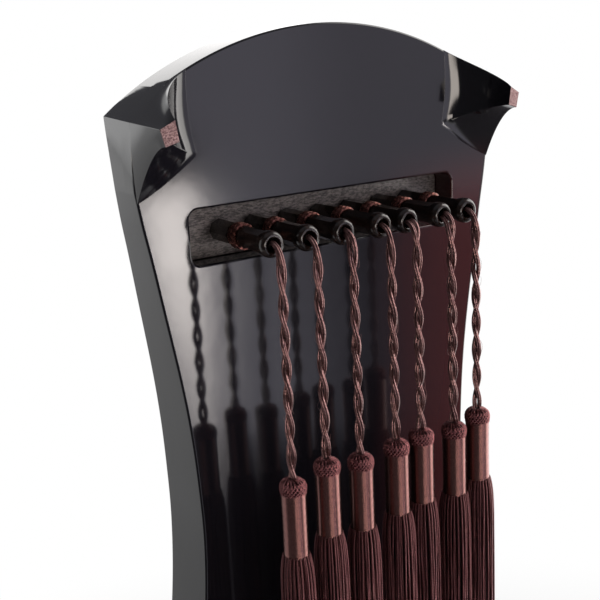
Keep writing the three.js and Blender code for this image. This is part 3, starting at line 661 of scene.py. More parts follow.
def hollow_out(board):
    """Takes out the hollow, its islands opposite the sound holes left standing, and the slot's recess."""
    board.data.materials.append(LACQUER)
    start, end = BRIDGE_AT + HOLLOW_PAST_BRIDGE, BODY_LENGTH - HOLLOW_BEFORE_TAIL
    inner = [(x, u) for x, u in SIDE if start < u < end]
    half = [(x - HOLLOW_WALL, u) for x, u in ((half_width(start), start), *inner, (half_width(end), end))]
    outline = half + [(-x, u) for x, u in reversed(half)]
    hollow = plate("hollow", [outline], SEAM_Y - OVERRUN, HOLLOW_CAP_Y)
    divide_across(hollow, -HOLLOW_DIVIDED_TO, HOLLOW_DIVIDED_TO, 15)
    divide_along(hollow, [lerp(start, end, i / 24) for i in range(1, 24)])
    set_heights(hollow, lambda y: y > HOLLOW_CAP_Y - 1, lambda x, y, u: top_y(x, u) - HOLLOW_ROOF)
    hollow.data.materials.append(BARE_WOOD)
    for hole in SOUND_HOLES:
        island = plate("island", [sound_hole(*hole, ISLAND_RIM)], ISLAND_LOW_Y, ISLAND_CAP_Y,
                       ISLAND_ROUNDING)
        set_heights(island, lambda y: y < ISLAND_LOW_Y + 5,
                    lambda x, y, u: top_y(x, u) - ISLAND_ROOF + y - ISLAND_LOW_Y)
        island.data.materials.append(BARE_WOOD)
        cut(hollow, island, transfer=True)
    cut(board, hollow, transfer=True)
    recess = plate("recess", [SLOT_OUTLINE], SEAM_Y - OVERRUN, PLATE_TOP_Y + SEAT_GAP)
    recess.data.materials.append(LACQUER)
    cut(board, recess, transfer=True)
    for index in range(STRINGS):
        hole = plate("hole", [loop_hole(index, 16)], SEAM_Y, TOP_CAP_Y)
        hole.data.materials.append(BARE_WOOD)
        cut(board, hole, transfer=True)


def peg_x(index):
    return (STRINGS - 1 - 2 * index) * PEG_SPACING / 2


def make_slot_plate():
    """The dark hardwood floor of the slot, with a hole for each loop."""
    outline = rounded_box(SLOT_WIDTH - 2 * SEAT_GAP, SLOT_TOP + SEAT_GAP,
                          SLOT_TOP + SLOT_HEIGHT - SEAT_GAP, SLOT_CORNER - SEAT_GAP)
    holes = [loop_hole(index) for index in range(STRINGS)]
    floor = plate("slot_floor_plate", [outline, *holes], SLOT_FLOOR_Y, PLATE_TOP_Y, rounding=0.25, steps=1)
    smooth(floor)
    settle(floor, "slot_floor_plate", SLOT_WOOD, "slot_wood", "root", "peg_slot_plate")


# Peg guards: a ridge is its foot, its corner of the tip, and the powers by which x, y and u fall in
GUARD_LEVELS, GUARD_STEPS = 26, 8
TOP_INNER = ((71.5, BACK_Y, 16.3), (91.2, -31.1, 35.0), (1.5, 1.7, 0.8))
TOP_OUTER = ((99.4, BACK_Y, 36.6), (97.7, -30.0, 38.3), (1, 1, 1))
LOW_OUTER = ((98.95, BACK_Y, 71.5), (95.9, -30.1, 45.6), (1.3, 1, 1.8))
LOW_INNER = ((68.8, BACK_Y, 53.6), (89.9, -31.1, 43.8), (1.6, 1.7, 1.4))
OUTER_BEND, LOW_BEND, INNER_BEND = (100.3, BACK_Y, 54), (86, BACK_Y, 66), (73, BACK_Y, 36)
CUT_FROM_X, CUT_FROM_U, EDGE_GAP = 80, 20.7, 0.15
GUARD_SUNK, GUARD_EDGE, GUARD_EDGE_ANGLE = 0.4, 0.5, 28
FACET_EASE, INNER_SCOOP = 1.6, 0.22


def across(first, last, share):
    return tuple(lerp(a, b, share) for a, b in zip(first, last))


def bezier(first, control, last, share):
    return across(across(first, control, share), across(control, last, share), share)


def facet_foot(share):
    """The upper facet's foot follows the head's edge, then the plane that takes the corner off."""
    x = lerp(TOP_INNER[0][0], TOP_OUTER[0][0], share)
    if x < CUT_FROM_X:
        return x, BACK_Y, head_arc_at(x) + EDGE_GAP
    past = (x - CUT_FROM_X) / (TOP_OUTER[0][0] - CUT_FROM_X)
    return x, BACK_Y, lerp(CUT_FROM_U, TOP_OUTER[0][2], past)


def guard_line(foot, tip, powers):
    """One lengthwise line of a guard, from the board to its tip, as (x, y, u)."""
    line = []
    for level in range(GUARD_LEVELS + 1):
        height = level / GUARD_LEVELS
        line.append((
            lerp(tip[0], foot[0], (1 - height) ** powers[0]),
            lerp(foot[1], tip[1], height ** powers[1]),
            lerp(tip[2], foot[2], (1 - height) ** powers[2])))
    return line


def guard_face(start, end, bend, steps, ease=1.0, scoop=0.0):
    """Lines of the face between two ridges. Without a bend, the face is the upper facet."""
    lines = []
    for i in steps:
        share = i / GUARD_STEPS
        foot = bezier(start[0], bend, end[0], share) if bend else facet_foot(share)
        power_x, power_y, power_u = across(start[2], end[2], min(share * ease, 1))
        power_y += scoop * math.sin(math.pi * share)
        lines.append(guard_line(foot, across(start[1], end[1], share), (power_x, power_y, power_u)))
    return lines


def make_guard(side, word):
    lines = [
        *guard_face(TOP_INNER, TOP_OUTER, None, range(GUARD_STEPS + 1), ease=FACET_EASE),
        *guard_face(TOP_OUTER, LOW_OUTER, OUTER_BEND, range(1, GUARD_STEPS + 1)),
        *guard_face(LOW_OUTER, LOW_INNER, LOW_BEND, range(1, GUARD_STEPS + 1)),
        *guard_face(LOW_INNER, TOP_INNER, INNER_BEND, range(1, GUARD_STEPS), scoop=INNER_SCOOP)]
    rings = [[at(side * line[level][0], *line[level][1:]) for line in lines]
             for level in range(GUARD_LEVELS + 1)]
    sunk = [place + Vector((0, GUARD_SUNK, 0)) * MM for place in rings[0]]
    guard = lofted("guard", [sunk, *rings])
    guard.data.materials.append(LACQUER)
    guard.data.materials.append(BARE_TIP)
    edit(guard)
    mesh = bmesh.from_edit_mesh(guard.data)
    for face in mesh.faces:
        is_tip = len(face.verts) > GUARD_STEPS and face.normal.y < 0
        face.material_index = 1 if is_tip else 0
    bmesh.update_edit_mesh(guard.data)
    bpy.ops.object.mode_set(mode="OBJECT")
    smooth(guard, GUARD_EDGE_ANGLE)
    apply_modifier(guard, "BEVEL", width=GUARD_EDGE * MM, segments=3, limit_method="ANGLE",
                   angle_limit=math.radians(GUARD_EDGE_ANGLE))
    firm_normals(guard)
    settle(guard, "peg_guard_scooped_" + word, None, "lacquer", "root", "peg_guard_" + word)


# Pegs: places on a peg are (radius, y), with y from 0 at its seat down to minus its length
PEG_RADIUS, LIP_RADIUS, LIP_HEIGHT = 5.7, 5.95, 3.2
BORE_RADIUS, MOUTH_RADIUS = 2.2, 3.2
PEG_TURN_STEP, PEG_FIRST_TURN = 17, 9
WINDING_RADIUS, WINDING_START, WINDING_PITCH, WINDING_TURNS = 5.25, -17.3, 2.25, 3.1
FILAMENTS, FILAMENT_RING, FILAMENT_RADIUS = 7, 0.5, 0.33


def seat_of(index):
    lean = math.radians(PEG_LEANS[index])
    lift = PEG_RADIUS * math.sin(abs(lean))
    seat = at(peg_x(index), SLOT_FLOOR_Y - SEAT_GAP - lift, PEG_FROM_HEAD)
    return Matrix.Translation(seat) @ Matrix.Rotation(lean, 4, "Z")


def tip_of(index):
    return seat_of(index) @ Vector((0, -PEG_LENGTH * MM, 0))


def peg_body():
    """A round peg with eight flats that run out before its rounded end, bored through."""
    end = -PEG_LENGTH
    profile = [(BORE_RADIUS, 0), (5.2, 0), (PEG_RADIUS, -0.5), (PEG_RADIUS, -15.2), (5.3, -15.8),
               (4.4, -16.0), (4.4, -25.2), (5.2, -25.5), (5.6, -26.2), (5.5, -30), (5.45, -34),
               (5.55, -38), (5.75, -42), (LIP_RADIUS, end + LIP_HEIGHT)]
    for i in range(1, 9):
        angle = math.pi / 2 * i / 8
        radius = lerp(4.1, LIP_RADIUS, math.cos(angle))
        profile.append((radius, end + LIP_HEIGHT * (1 - math.sin(angle))))
    profile += [(3.6, end + 0.08), (3.3, end + 0.35), (MOUTH_RADIUS, end + 0.9), (MOUTH_RADIUS, end + 7),
                (BORE_RADIUS, end + 7.7), (BORE_RADIUS, 0)]
    body = turned("peg", profile, 64)
    flats = [(0.5, 3), (5.3, 3), (5.3, -17), (5.2, -26), (5.1, -33), (5.2, -39), (5.4, end + 6.2),
             (6.6, end + 4.4), (7.2, end - 3), (0.5, end - 3), (0.5, 3)]
    flatted = turned("flats", flats, 8)
    flatted.data.transform(Matrix.Rotation(math.pi / 8, 4, "Y"))
    flatted.data.update()
    cut(body, flatted, operation="INTERSECT")
    smooth(body, 22)
    return body


def winding_lines():
    """Turns of fine thread round the peg's neck, as parallel filaments."""
    lines = []
    steps = 40
    for filament in range(FILAMENTS):
        tilt = 2 * math.pi * filament / FILAMENTS
        radius = WINDING_RADIUS + FILAMENT_RING * math.cos(tilt)
        start = WINDING_START + FILAMENT_RING * math.sin(tilt)
        line = []
        for i in range(int(WINDING_TURNS * steps) + 1):
            angle = 2 * math.pi * i / steps
            y = start - WINDING_PITCH * i / steps
            line.append(Vector((radius * math.cos(angle), y, radius * math.sin(angle))) * MM)
        lines.append(line)
    return lines


def make_pegs():
    body = peg_body()
    turns = strands("winding", winding_lines(), FILAMENT_RADIUS)
    smooth(turns, STRAND_ANGLE)
    for index in range(STRINGS):
        number = index + 1
        turn = math.radians(PEG_TURN_STEP * index + PEG_FIRST_TURN)
        place = seat_of(index) @ Matrix.Rotation(turn, 4, "Y")
        settle(copied(body, place), f"peg_{number}_turned", PEG_WOOD, "peg_wood",
               f"tuner_{number}", f"peg_{number}")
        settle(copied(turns, place), f"peg_{number}_thread", WINDING_SILK_PAINTED_SHADE, "silk_thread",
               f"tuner_{number}", f"peg_winding_{number}")
    bpy.data.objects.remove(body)
    bpy.data.objects.remove(turns)


# Cords
PLIES, PLY_CORE_RADIUS, PLY_TWIST, BUNDLE_SWELL, SWELL_RATE = 2, 0.62, 2.1, 0.12, 0.225
CORD_LAY = {"spacing": 1.1, "ply_reach": 1.2, "bundle_radius": 0.78, "fibres": 5, "fibre_radius": 0.42,
            "turn": 27, "opening": 9}
LOOP_LAY = {"spacing": 0.9, "ply_reach": 1.05, "bundle_radius": 0.62, "fibres": 6, "fibre_radius": 0.34,
            "turn": 13}
HAIRS, HAIR_REACH, HAIR_RADIUS, HAIR_STEPS, HAIR_TURN = 7, 2.3, 0.06, 6, 0.25


def cord_route(index):
    """The cord's own line, from inside the peg's mouth straight down to the tassel."""
    tip = tip_of(index)
    length = CORD_LENGTHS[index]
    points = [tip + Vector((0, CORD_INSIDE, 0)) * MM]
    for out, down in CORD_BEND_SHARES:
        points.append(tip + Vector((0, -CORD_STAND_OFF * out, -CORD_STAND_OFF * down)) * MM)
    bend_end = CORD_STAND_OFF * CORD_BEND_SHARES[-1][1]
    for i in range(1, CORD_STRETCHES + 1):
        down = lerp(bend_end, length - SEAT_GAP, i / CORD_STRETCHES)
        points.append(tip + Vector((0, -CORD_STAND_OFF, -down)) * MM)
    return points


def resampled(points, spacing):
    """The smooth line through the points, at even steps, with its frames."""
    fine = [Vector(place) for place in spline([tuple(p) for p in points], 60 * (len(points) - 1))]
    spots = [fine[0]]
    left = 0.0
    for a, b in zip(fine, fine[1:]):
        step = (b - a).length
        while left + step >= spacing:
            share = (spacing - left) / step
            a = a.lerp(b, share)
            spots.append(a.copy())
            step = (b - a).length
            left = 0.0
        left += step
    if (spots[-1] - fine[-1]).length > spacing / 3:
        spots.append(fine[-1])
    side = Vector((1, 0, 0))
    frames = []
    for i, spot in enumerate(spots):
        ahead = (spots[min(i + 1, len(spots) - 1)] - spots[max(i - 1, 0)]).normalized()
        side = (side - side.dot(ahead) * ahead).normalized()
        frames.append((spot, side, ahead.cross(side)))
    return frames


def off_line(spot, side, other, angle, reach):
    """A place at an angle and a reach in millimetres from a place on a line, in that place's frame."""
    return spot + (side * math.cos(angle) + other * math.sin(angle)) * (reach * MM)


def laid_strands(frames, rng, spacing, ply_reach, bundle_radius, fibres, fibre_radius, turn, opening=0.0):
    """A laid cord as two meshes: the fibres bundled in each ply, and the plies' cores."""
    cores, rims = [], []
    start = rng.uniform(0, 2 * math.pi)
    for ply in range(PLIES):
        core, bundle = [], [[] for _ in range(fibres)]
        wobble = [rng.uniform(-0.1, 0.1) for _ in range(fibres)]
        for i, (spot, side, other) in enumerate(frames):
            run = i * spacing
            along = run - opening * (1 - math.exp(-run / opening)) if opening else run
            angle = start + 2 * math.pi * (ply / PLIES - along / turn)
            core.append(off_line(spot, side, other, angle, ply_reach))
            for fibre in range(fibres):
                twist = 2 * math.pi * fibre / fibres + PLY_TWIST * math.pi * along / turn + wobble[fibre]
                reach = bundle_radius * (1 + BUNDLE_SWELL * math.sin(SWELL_RATE * run + 5 * fibre))
                bundle[fibre].append(off_line(core[-1], side, other, angle + twist, reach))
        cores.append(core)
        rims += bundle
    return strands("fibres", rims, fibre_radius), strands("cores", cores, PLY_CORE_RADIUS)


def strand_piece(name, *parts):
    """Joins meshes, each given with its finish, into one piece."""
    for obj, finish in parts:
        obj.data.materials.append(finish)
    piece = joined([obj for obj, _ in parts], name)
    smooth(piece, STRAND_ANGLE)
    return piece


def make_cord(index, tassel_pieces):
    number = index + 1
    rng = random.Random(40 + number)
    route = cord_route(index)
    frames = resampled(route, CORD_LAY["spacing"] * MM)
    fibres, cores = laid_strands(frames, rng, **CORD_LAY)
    hairs = strands("hairs", stray_hairs(frames, rng), HAIR_RADIUS, 0)
    # The plies' cores take the dark silk, painted shade in the gaps between the fibres
    cord = strand_piece(f"tassel_cord_{number}_laid", (fibres, CORD_SILK), (cores, PAINTED_SHADE_SILK),
                        (hairs, CORD_SILK))
    cord.data.name = cord.name
    tip_of(index)
    tip_of(index) + Vector((0, -CORD_STAND_OFF, -2.6 * CORD_STAND_OFF)) * MM
    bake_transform(cord)
    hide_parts(f"tassel_cord_{number}")
    length = sum((b - a).length for a, b in zip(route, route[1:]))


def stray_hairs(frames, rng):
    """Short loose hairs that stand off a cord."""
    lines = []
    for _ in range(HAIRS):
        start = rng.randrange(4, len(frames) - HAIR_STEPS - 2)
        angle = rng.uniform(0, 2 * math.pi)
        lift = rng.uniform(0.3, 0.9)
        line = []
        for step in range(HAIR_STEPS + 1):
            angle += HAIR_TURN
            reach = HAIR_REACH + lift * math.sin(math.pi * step / HAIR_STEPS)
            line.append(off_line(*frames[start + step], angle, reach))
        lines.append(line)
    return lines


# Tassels: cap, neck bound with thread and skirt, measured down from the tassel's top
CAP_HEIGHT, NECK_LENGTH, NECK_RADIUS, SKIRT_LENGTH = 8.9, 28.2, 5.85, 170
CAP_STEPS = 60
CAP_SURFACE = spline([(1.4, 0.45), (2.7, 0.3), (4.3, 1.1), (5.4, 2.6), (5.7, 4.3), (5.6, 5.8), (5.35, 7.1)],
                     CAP_STEPS)
CAP_LOOPS, LOOP_SPAN, LOOP_LEAN, LOOP_STRAND_RADIUS = 18, (0.02, 0.62), 0.3, 0.36
BRAID_PAIRS, BRAID_SPAN, BRAID_STRAND_RADIUS = 22, (0.4, 1.0), 0.29
BRAID_WAYS = [(0, 0.8, 0.1), (0.14, -0.8, 0.32)]
CAP_CORE_INSET, CAP_CORE_SUNK = 0.35, 0.3
THREAD_PITCH, THREAD_RADIUS, THREAD_STEPS = 0.42, 0.6, 24
NECK_TUCKED_IN, NECK_WAIST, NECK_CORE_RADIUS = 2.1, 0.12, NECK_RADIUS - 0.9
SKIRT_RINGS = [(27, 5.9, 7.7), (25, 4.9, 6.5), (20, 3.6, 5.0), (12, 2.0, 3.0)]
OUTER_RINGS, SKIRT_STEPS, SKIRT_STRAND_RADIUS, SKIRT_TUCKED_IN = 2, 56, 0.46, 0.6
SKIRT_OPENS_OVER, SWING_OVER, SWAY, SWAY_LENGTH = 6, 40, 0.03, 13


def hanging(origin, angle, radius, down):
    """A place round a tassel's own upright axis."""
    return origin + Vector((radius * math.cos(angle), radius * math.sin(angle), -down)) * MM


def tassel_piece(index, word, slot, *parts):
    number = index + 1
    piece = strand_piece(f"tassel_{number}_{word}", *parts)
    return settle(piece, piece.name, None, slot, f"pendant_{number}", f"tassel_{number}")


def cap_surface(share):
    """Radius and depth on the cap's rounded surface, from its middle at 0 to its lower rim at 1."""
    return CAP_SURFACE[round(CAP_STEPS * share)]


def cap_line(origin, angle, span, turn, lift, steps):
    """A strand over a span of the cap's surface, lifted off it and turning round as it goes down."""
    line = []
    for i in range(steps + 1):
        radius, depth = cap_surface(lerp(*span, i / steps))
        line.append(hanging(origin, angle + turn * i / steps, radius + lift, depth))
    return line


def make_cap(index, origin):
    """Loops over the top of the cap, a braid below them and a core of dark silk, painted shade between the
    strands.
    """
    rng = random.Random(80 + index)
    loops = [cap_line(origin, 2 * math.pi * i / CAP_LOOPS + rng.uniform(-0.05, 0.05), LOOP_SPAN, LOOP_LEAN,
                      rng.uniform(0.0, 0.3), 12) for i in range(CAP_LOOPS)]
    braid = []
    for i in range(BRAID_PAIRS):
        angle = 2 * math.pi * i / BRAID_PAIRS + rng.uniform(-0.03, 0.03)
        for aside, turn, lift in BRAID_WAYS:
            braid.append(cap_line(origin, angle + aside, BRAID_SPAN, turn, lift, 9))
    rounds = [(0, 0.6), *[cap_surface(i / 10) for i in range(1, 11)], (0, 7.0)]
    core_line = [hanging(origin, 0, radius - CAP_CORE_INSET if radius > 2 else 0, depth + CAP_CORE_SUNK)
                 for radius, depth in rounds]
    return tassel_piece(
        index, "cap", "tassel_silk",
        (strands("loops", loops, LOOP_STRAND_RADIUS), CAP_SILK),
        (strands("braid", braid, BRAID_STRAND_RADIUS), CAP_SILK),
        (spun("core", core_line, 32, origin, (0, 0, 1)), PAINTED_SHADE_SILK))


def make_neck(index, origin):
    """Fine thread bound round and round over a core of dark silk, painted shade between the turns."""
    top, bottom = CAP_HEIGHT - NECK_TUCKED_IN, CAP_HEIGHT + NECK_LENGTH
    steps = int((bottom - top) / THREAD_PITCH) * THREAD_STEPS
    line = []
    for i in range(steps + 1):
        radius = NECK_RADIUS - THREAD_RADIUS - NECK_WAIST * math.sin(math.pi * i / steps)
        turns = i / THREAD_STEPS
        line.append(hanging(origin, 2 * math.pi * turns, radius, top + THREAD_PITCH * turns))
    middle = [hanging(origin, 0, 0, down) for down in (top, bottom)]
    return tassel_piece(
        index, "binding", "silk_thread",
        (strands("thread", [line], THREAD_RADIUS, 2), BOUND_SILK),
        (strands("core", [middle], NECK_CORE_RADIUS, 8), PAINTED_SHADE_SILK))


def skirt_strand(origin, rng, angle, inner, outer):
    """One strand, swung out from the binding and swaying a little on its way down."""
    swing = rng.uniform(-0.06, 0.06)
    spread = outer + rng.uniform(-0.35, 0.35)
    sway = rng.uniform(0, 2 * math.pi)
    length = SKIRT_LENGTH - rng.uniform(0, 5)
    top = CAP_HEIGHT + NECK_LENGTH - SKIRT_TUCKED_IN
    line = []
    for i in range(SKIRT_STEPS + 1):
        down = length * (i / SKIRT_STEPS) ** 1.15
        opened = 1 - math.exp(-down / SKIRT_OPENS_OVER)
        here = angle + swing * down / SWING_OVER + SWAY * math.sin(down / SWAY_LENGTH + sway) * opened
        line.append(hanging(origin, here, lerp(inner, spread, opened), top + down))
    return line


def make_skirt(index, origin):
    """Hanging twisted strands in rings; the inner rings take the dark silk that paints the shade inside the
    skirt.
    """
    rng = random.Random(120 + index)
    parts = []
    for ring, (count, inner, outer) in enumerate(SKIRT_RINGS):
        lines = []
        for i in range(count):
            angle = 2 * math.pi * (i + rng.uniform(-0.3, 0.3)) / count
            lines.append(skirt_strand(origin, rng, angle, inner, outer))
        # The inner rings take the painted shade silk
        finish = TASSEL_SILK if ring < OUTER_RINGS else PAINTED_SHADE_SILK
        parts.append((strands("ring", lines, SKIRT_STRAND_RADIUS), finish))
    return tassel_piece(index, "skirt", "tassel_silk", *parts)


def make_pendants():
    for index in range(STRINGS):
        origin = tip_of(index) + Vector((0, -CORD_STAND_OFF, -CORD_LENGTHS[index])) * MM
        make_skirt(index, origin)
        make_cord(index, [make_cap(index, origin), make_neck(index, origin)])


# Fittings of the top and tail
STRIP_START, STRIP_END, STRIP_HALF = SLOT_TOP + 5, 103.2, 74
STRIP_RAISED, STRIP_SUNK, BRIDGE_SUNK, NUT_SUNK = 1.5, 2, 3, 7
BRIDGE_START, BRIDGE_END, BRIDGE_HALF, BRIDGE_LEVEL_HALF = 103.5, 112.5, 73, 63
BRIDGE_HEIGHT, BRIDGE_END_HEIGHT = 17, 10
NUT_LENGTH, NUT_HALF, NUT_RAISED = 17, 27, 3
NUT_END = BODY_LENGTH + 2
NUT_START = NUT_END - NUT_LENGTH
NUT_MIDDLE = NUT_START + NUT_LENGTH / 2
REST_BELOW, REST_SUNK = 2, 4
POST_RADIUS, POST_EDGE = 9, 0.6


def bridge_top(x):
    past = max(abs(x) - BRIDGE_LEVEL_HALF, 0) / (BRIDGE_HALF - BRIDGE_LEVEL_HALF)
    return top_y(x, BRIDGE_AT) + lerp(BRIDGE_HEIGHT, BRIDGE_END_HEIGHT, min(past, 1) ** 2)


def nut_top(x, u):
    past = max(u - NUT_MIDDLE, 0) / NUT_LENGTH
    return top_y(x, u) + NUT_RAISED * math.sqrt(1 - past ** 2)


def make_fittings():
    """The bars across the board, each with its low and high side, and the posts in the hollow."""
    bars = [
        ("loop_strip", "string_hole_strip", STRIP_START, STRIP_END, STRIP_HALF,
         lambda x, u: top_y(x, u) - STRIP_SUNK, lambda x, u: top_y(x, u) + STRIP_RAISED, 0.6),
        ("string_bridge", "bridge", BRIDGE_START, BRIDGE_END, BRIDGE_HALF,
         lambda x, u: top_y(x, BRIDGE_AT) - BRIDGE_SUNK, lambda x, u: bridge_top(x), 2.2),
        ("string_nut", "nut", NUT_START, NUT_END, NUT_HALF,
         lambda x, u: top_y(x, u) - NUT_SUNK, nut_top, 1.6),
        ("string_rest", "tail_support", NUT_START, NUT_END, NUT_HALF,
         lambda x, u: BACK_Y - REST_BELOW, lambda x, u: BACK_Y + REST_SUNK, 1.2)]
    for name, node, *shape in bars:
        bar = bar_over_arch(name, *shape)
        if name == "loop_strip":
            for index in range(STRINGS):
                cut(bar, plate("hole", [loop_hole(index, 24)], SLOT_FLOOR_Y, 90))
        firm_normals(bar)
        settle(bar, name, EBONY, "ebony", "root", node)
    for before, name, node in ((3, "post_upper", "sound_post_head"), (8, "post_lower", "sound_post_tail")):
        u = (stud_at(before) + stud_at(before + 1)) / 2
        low, high = SEAM_Y + SEAT_GAP, top_y(POST_RADIUS, u) - HOLLOW_ROOF - SEAT_GAP
        narrow = POST_RADIUS - POST_EDGE
        profile = [(0, low), (narrow, low), (POST_RADIUS, low + POST_EDGE), (POST_RADIUS, high - POST_EDGE),
                   (narrow, high), (0, high)]
        post = turned(name, profile, 40, origin=at(0, 0, u))
        smooth(post)
        settle(post, name, BARE_WOOD, "bare_wood", "root", node)


CAP_START = BODY_LENGTH - 78
CAP_FROM_NUT, CAP_INSET, CAP_ROUNDING = 3, 0.1, 0.7
CAP_RAISED, CAP_SUNK = 1.6, 3


def make_tail_caps():
    """Thin plates at the tail with a cloud-scroll inner edge, bent over the arch."""
    inner, outer = NUT_HALF + CAP_FROM_NUT, half_width(CAP_START)
    curve = spline([(lerp(inner, outer, out), lerp(CAP_START, BODY_LENGTH, along))
                    for along, out in CAP_SHARES], 60)
    rim = [(x, u) for x, u in SIDE if CAP_START < u < BODY_LENGTH]
    outline = [*curve, (half_width(BODY_LENGTH) - CAP_INSET, BODY_LENGTH), *reversed(rim),
               (outer - CAP_INSET, CAP_START)]

    def height(x, y, u):
        return top_y(x, u) + y - (TOP_CAP_Y - CAP_RAISED if y > TOP_CAP_Y / 2 else CAP_SUNK)

    for side, word in ((1, "right"), (-1, "left")):
        cap = plate("cap", [[(side * x, u) for x, u in outline]], 0, TOP_CAP_Y, CAP_ROUNDING)
        divide_across(cap, side * 25, side * 90, 9)
        divide_along(cap, [lerp(CAP_START, BODY_LENGTH, i / 7) for i in range(1, 7)])
        set_heights(cap, lambda y: True, height)
        firm_normals(cap)
        settle(cap, "tail_plate_" + word, EBONY, "ebony", "root", "tail_cap_" + word)


FOOT_TOP, FOOT_BASE = BACK_Y - 0.05, BACK_Y - 42
FOOT_WAIST_RADIUS, FOOT_WAIST_Y, FOOT_FLARE_RADIUS, FOOT_FLARE_Y = 8.4, FOOT_TOP - 19.5, 11.5, FOOT_BASE + 4
WRAP_LAYERS = [(9.45, -12.1, -22.3, -1), (10.9, -12.9, -21.6, 1)]
WRAP_PITCH, WRAP_RADIUS, WRAP_STEPS = 1.5, 0.76, 36


def foot_profile():
    """From the peg in the board, over the collar and the waist, down to the flared base."""
    top, base = FOOT_TOP, FOOT_BASE
    profile = [(0, SEAM_Y), (5.4, SEAM_Y), (6, SEAM_Y - 0.6), (6, top), (11.2, top), (12, top - 0.8),
               (12, top - 3.6), (11.4, top - 4.8), (9.2, top - 5.2), (8.5, top - 6.2),
               (FOOT_WAIST_RADIUS, FOOT_WAIST_Y)]
    for i in range(1, 9):
        share = i / 8
        profile.append((lerp(FOOT_WAIST_RADIUS, FOOT_FLARE_RADIUS, share ** 2.2),
                        lerp(FOOT_WAIST_Y, FOOT_FLARE_Y, share)))
    return profile + [(11.7, base + 2.6), (11.5, base + 0.9), (10.8, base + 0.1), (9.8, base), (0, base)]


def make_feet():
    """The goose feet, and the ends of the strings wound on them in two layers."""
    for side, word in ((1, "right"), (-1, "left")):
        foot = turned("foot", foot_profile(), 56, origin=at(side * FOOT_X, 0, FEET_AT))
        smooth(foot, 35)
        settle(foot, "goose_foot_" + word, EBONY, "ebony", "root", "foot_" + word)
        lines = []
        for radius, first, last, way in WRAP_LAYERS:
            count = int((first - last) / WRAP_PITCH * WRAP_STEPS)
            line = []
            for i in range(count + 1):
                angle = 2 * math.pi * i / WRAP_STEPS * side * way
                line.append(at(side * FOOT_X + radius * math.cos(angle), lerp(first, last, i / count),
                               FEET_AT + radius * math.sin(angle)))
            lines.append(line)
        wrap = strands("wrap", lines, WRAP_RADIUS, 2)
        smooth(wrap, STRAND_ANGLE)
        settle(wrap, "string_turns_" + word, STRING_SILK, "string_silk", "root", "string_wrap_" + word)


STUD_X, STUD_DEPTH, STUD_SUNK, STUD_INSET, STUD_RAISED = 62, 2, 0.95, 0.3, 0.12
LARGEST_STUD, LARGEST_STUD_RADIUS, SMALLEST_STUD_RADIUS = 7, 5.4, 2.7


def make_studs():
    """Thirteen inlaid discs of shell that mark the harmonics, largest at the middle."""
    discs = []
    for number in range(1, len(STUD_SHARES) + 1):
        u = stud_at(number)
        radius = lerp(LARGEST_STUD_RADIUS, SMALLEST_STUD_RADIUS, abs(number - LARGEST_STUD) / 6)
        slope = (top_y(STUD_X + 1, u) - top_y(STUD_X - 1, u)) / 2
        deselect()
        bpy.ops.mesh.primitive_cylinder_add(vertices=40, radius=radius * MM, depth=STUD_DEPTH * MM)
        disc = bpy.context.object
        edit(disc)
        choose(lambda face: face.normal.z > 0.9)
        bpy.ops.mesh.inset(thickness=STUD_INSET * MM)
        bpy.ops.transform.translate(value=(0, 0, STUD_RAISED * MM))
        bpy.ops.object.mode_set(mode="OBJECT")
        turn = Matrix.Rotation(math.atan(slope), 4, "Z") @ Matrix.Rotation(-math.pi / 2, 4, "X")
        disc.data.transform(Matrix.Translation(at(STUD_X, top_y(STUD_X, u) - STUD_SUNK, u)) @ turn)
        discs.append(disc)
    studs = joined(discs, "harmonic_studs")
    smooth(studs)
    settle(studs, "harmonic_studs", SHELL, "string_silk", "root")


# Strings, the silk loops that hold them and the knots between the two
LOOP_RADIUS = 2.1
KNOT_RADIUS, KNOT_RISE, KNOT_TURNS = 2.2, 1.8, 3
KNOT_START, KNOT_MIDDLE = BRIDGE_END + 1.2, BRIDGE_END + 2.7
STRING_WRAPS_FROM, STRING_WRAPS_TO, WRAP_REACH = -12.1, -22.0, 11.6
THICKEST_STRING, THINNEST_STRING, STRING_GAP = 1.6, 0.9, 0.1
NUT_SPACING, NUT_CORNER = 7, 1


def loop_points(index):
    x = peg_x(index)
    over = bridge_top(x) + LOOP_RADIUS - 0.3
    strip = top_y(x, PEG_FROM_HEAD) + STRIP_RAISED
    return [at(x, y, u) for y, u in (
        (SLOT_FLOOR_Y + 0.3, PEG_FROM_HEAD), (PLATE_TOP_Y + LOOP_RADIUS, PEG_FROM_HEAD),
        (strip - 6, PEG_FROM_HEAD), (strip, PEG_FROM_HEAD + 0.2), (strip + 3, PEG_FROM_HEAD + 2.2),
        (over - 4.2, BRIDGE_START - 3.4), (over - 1.2, BRIDGE_START - 0.6), (over, BRIDGE_START + 2.6),
        (over, BRIDGE_END - 1), (over - 0.2, BRIDGE_END + 2.4))]


def string_radius(index):
    return lerp(THICKEST_STRING, THINNEST_STRING, index / (STRINGS - 1)) / 2


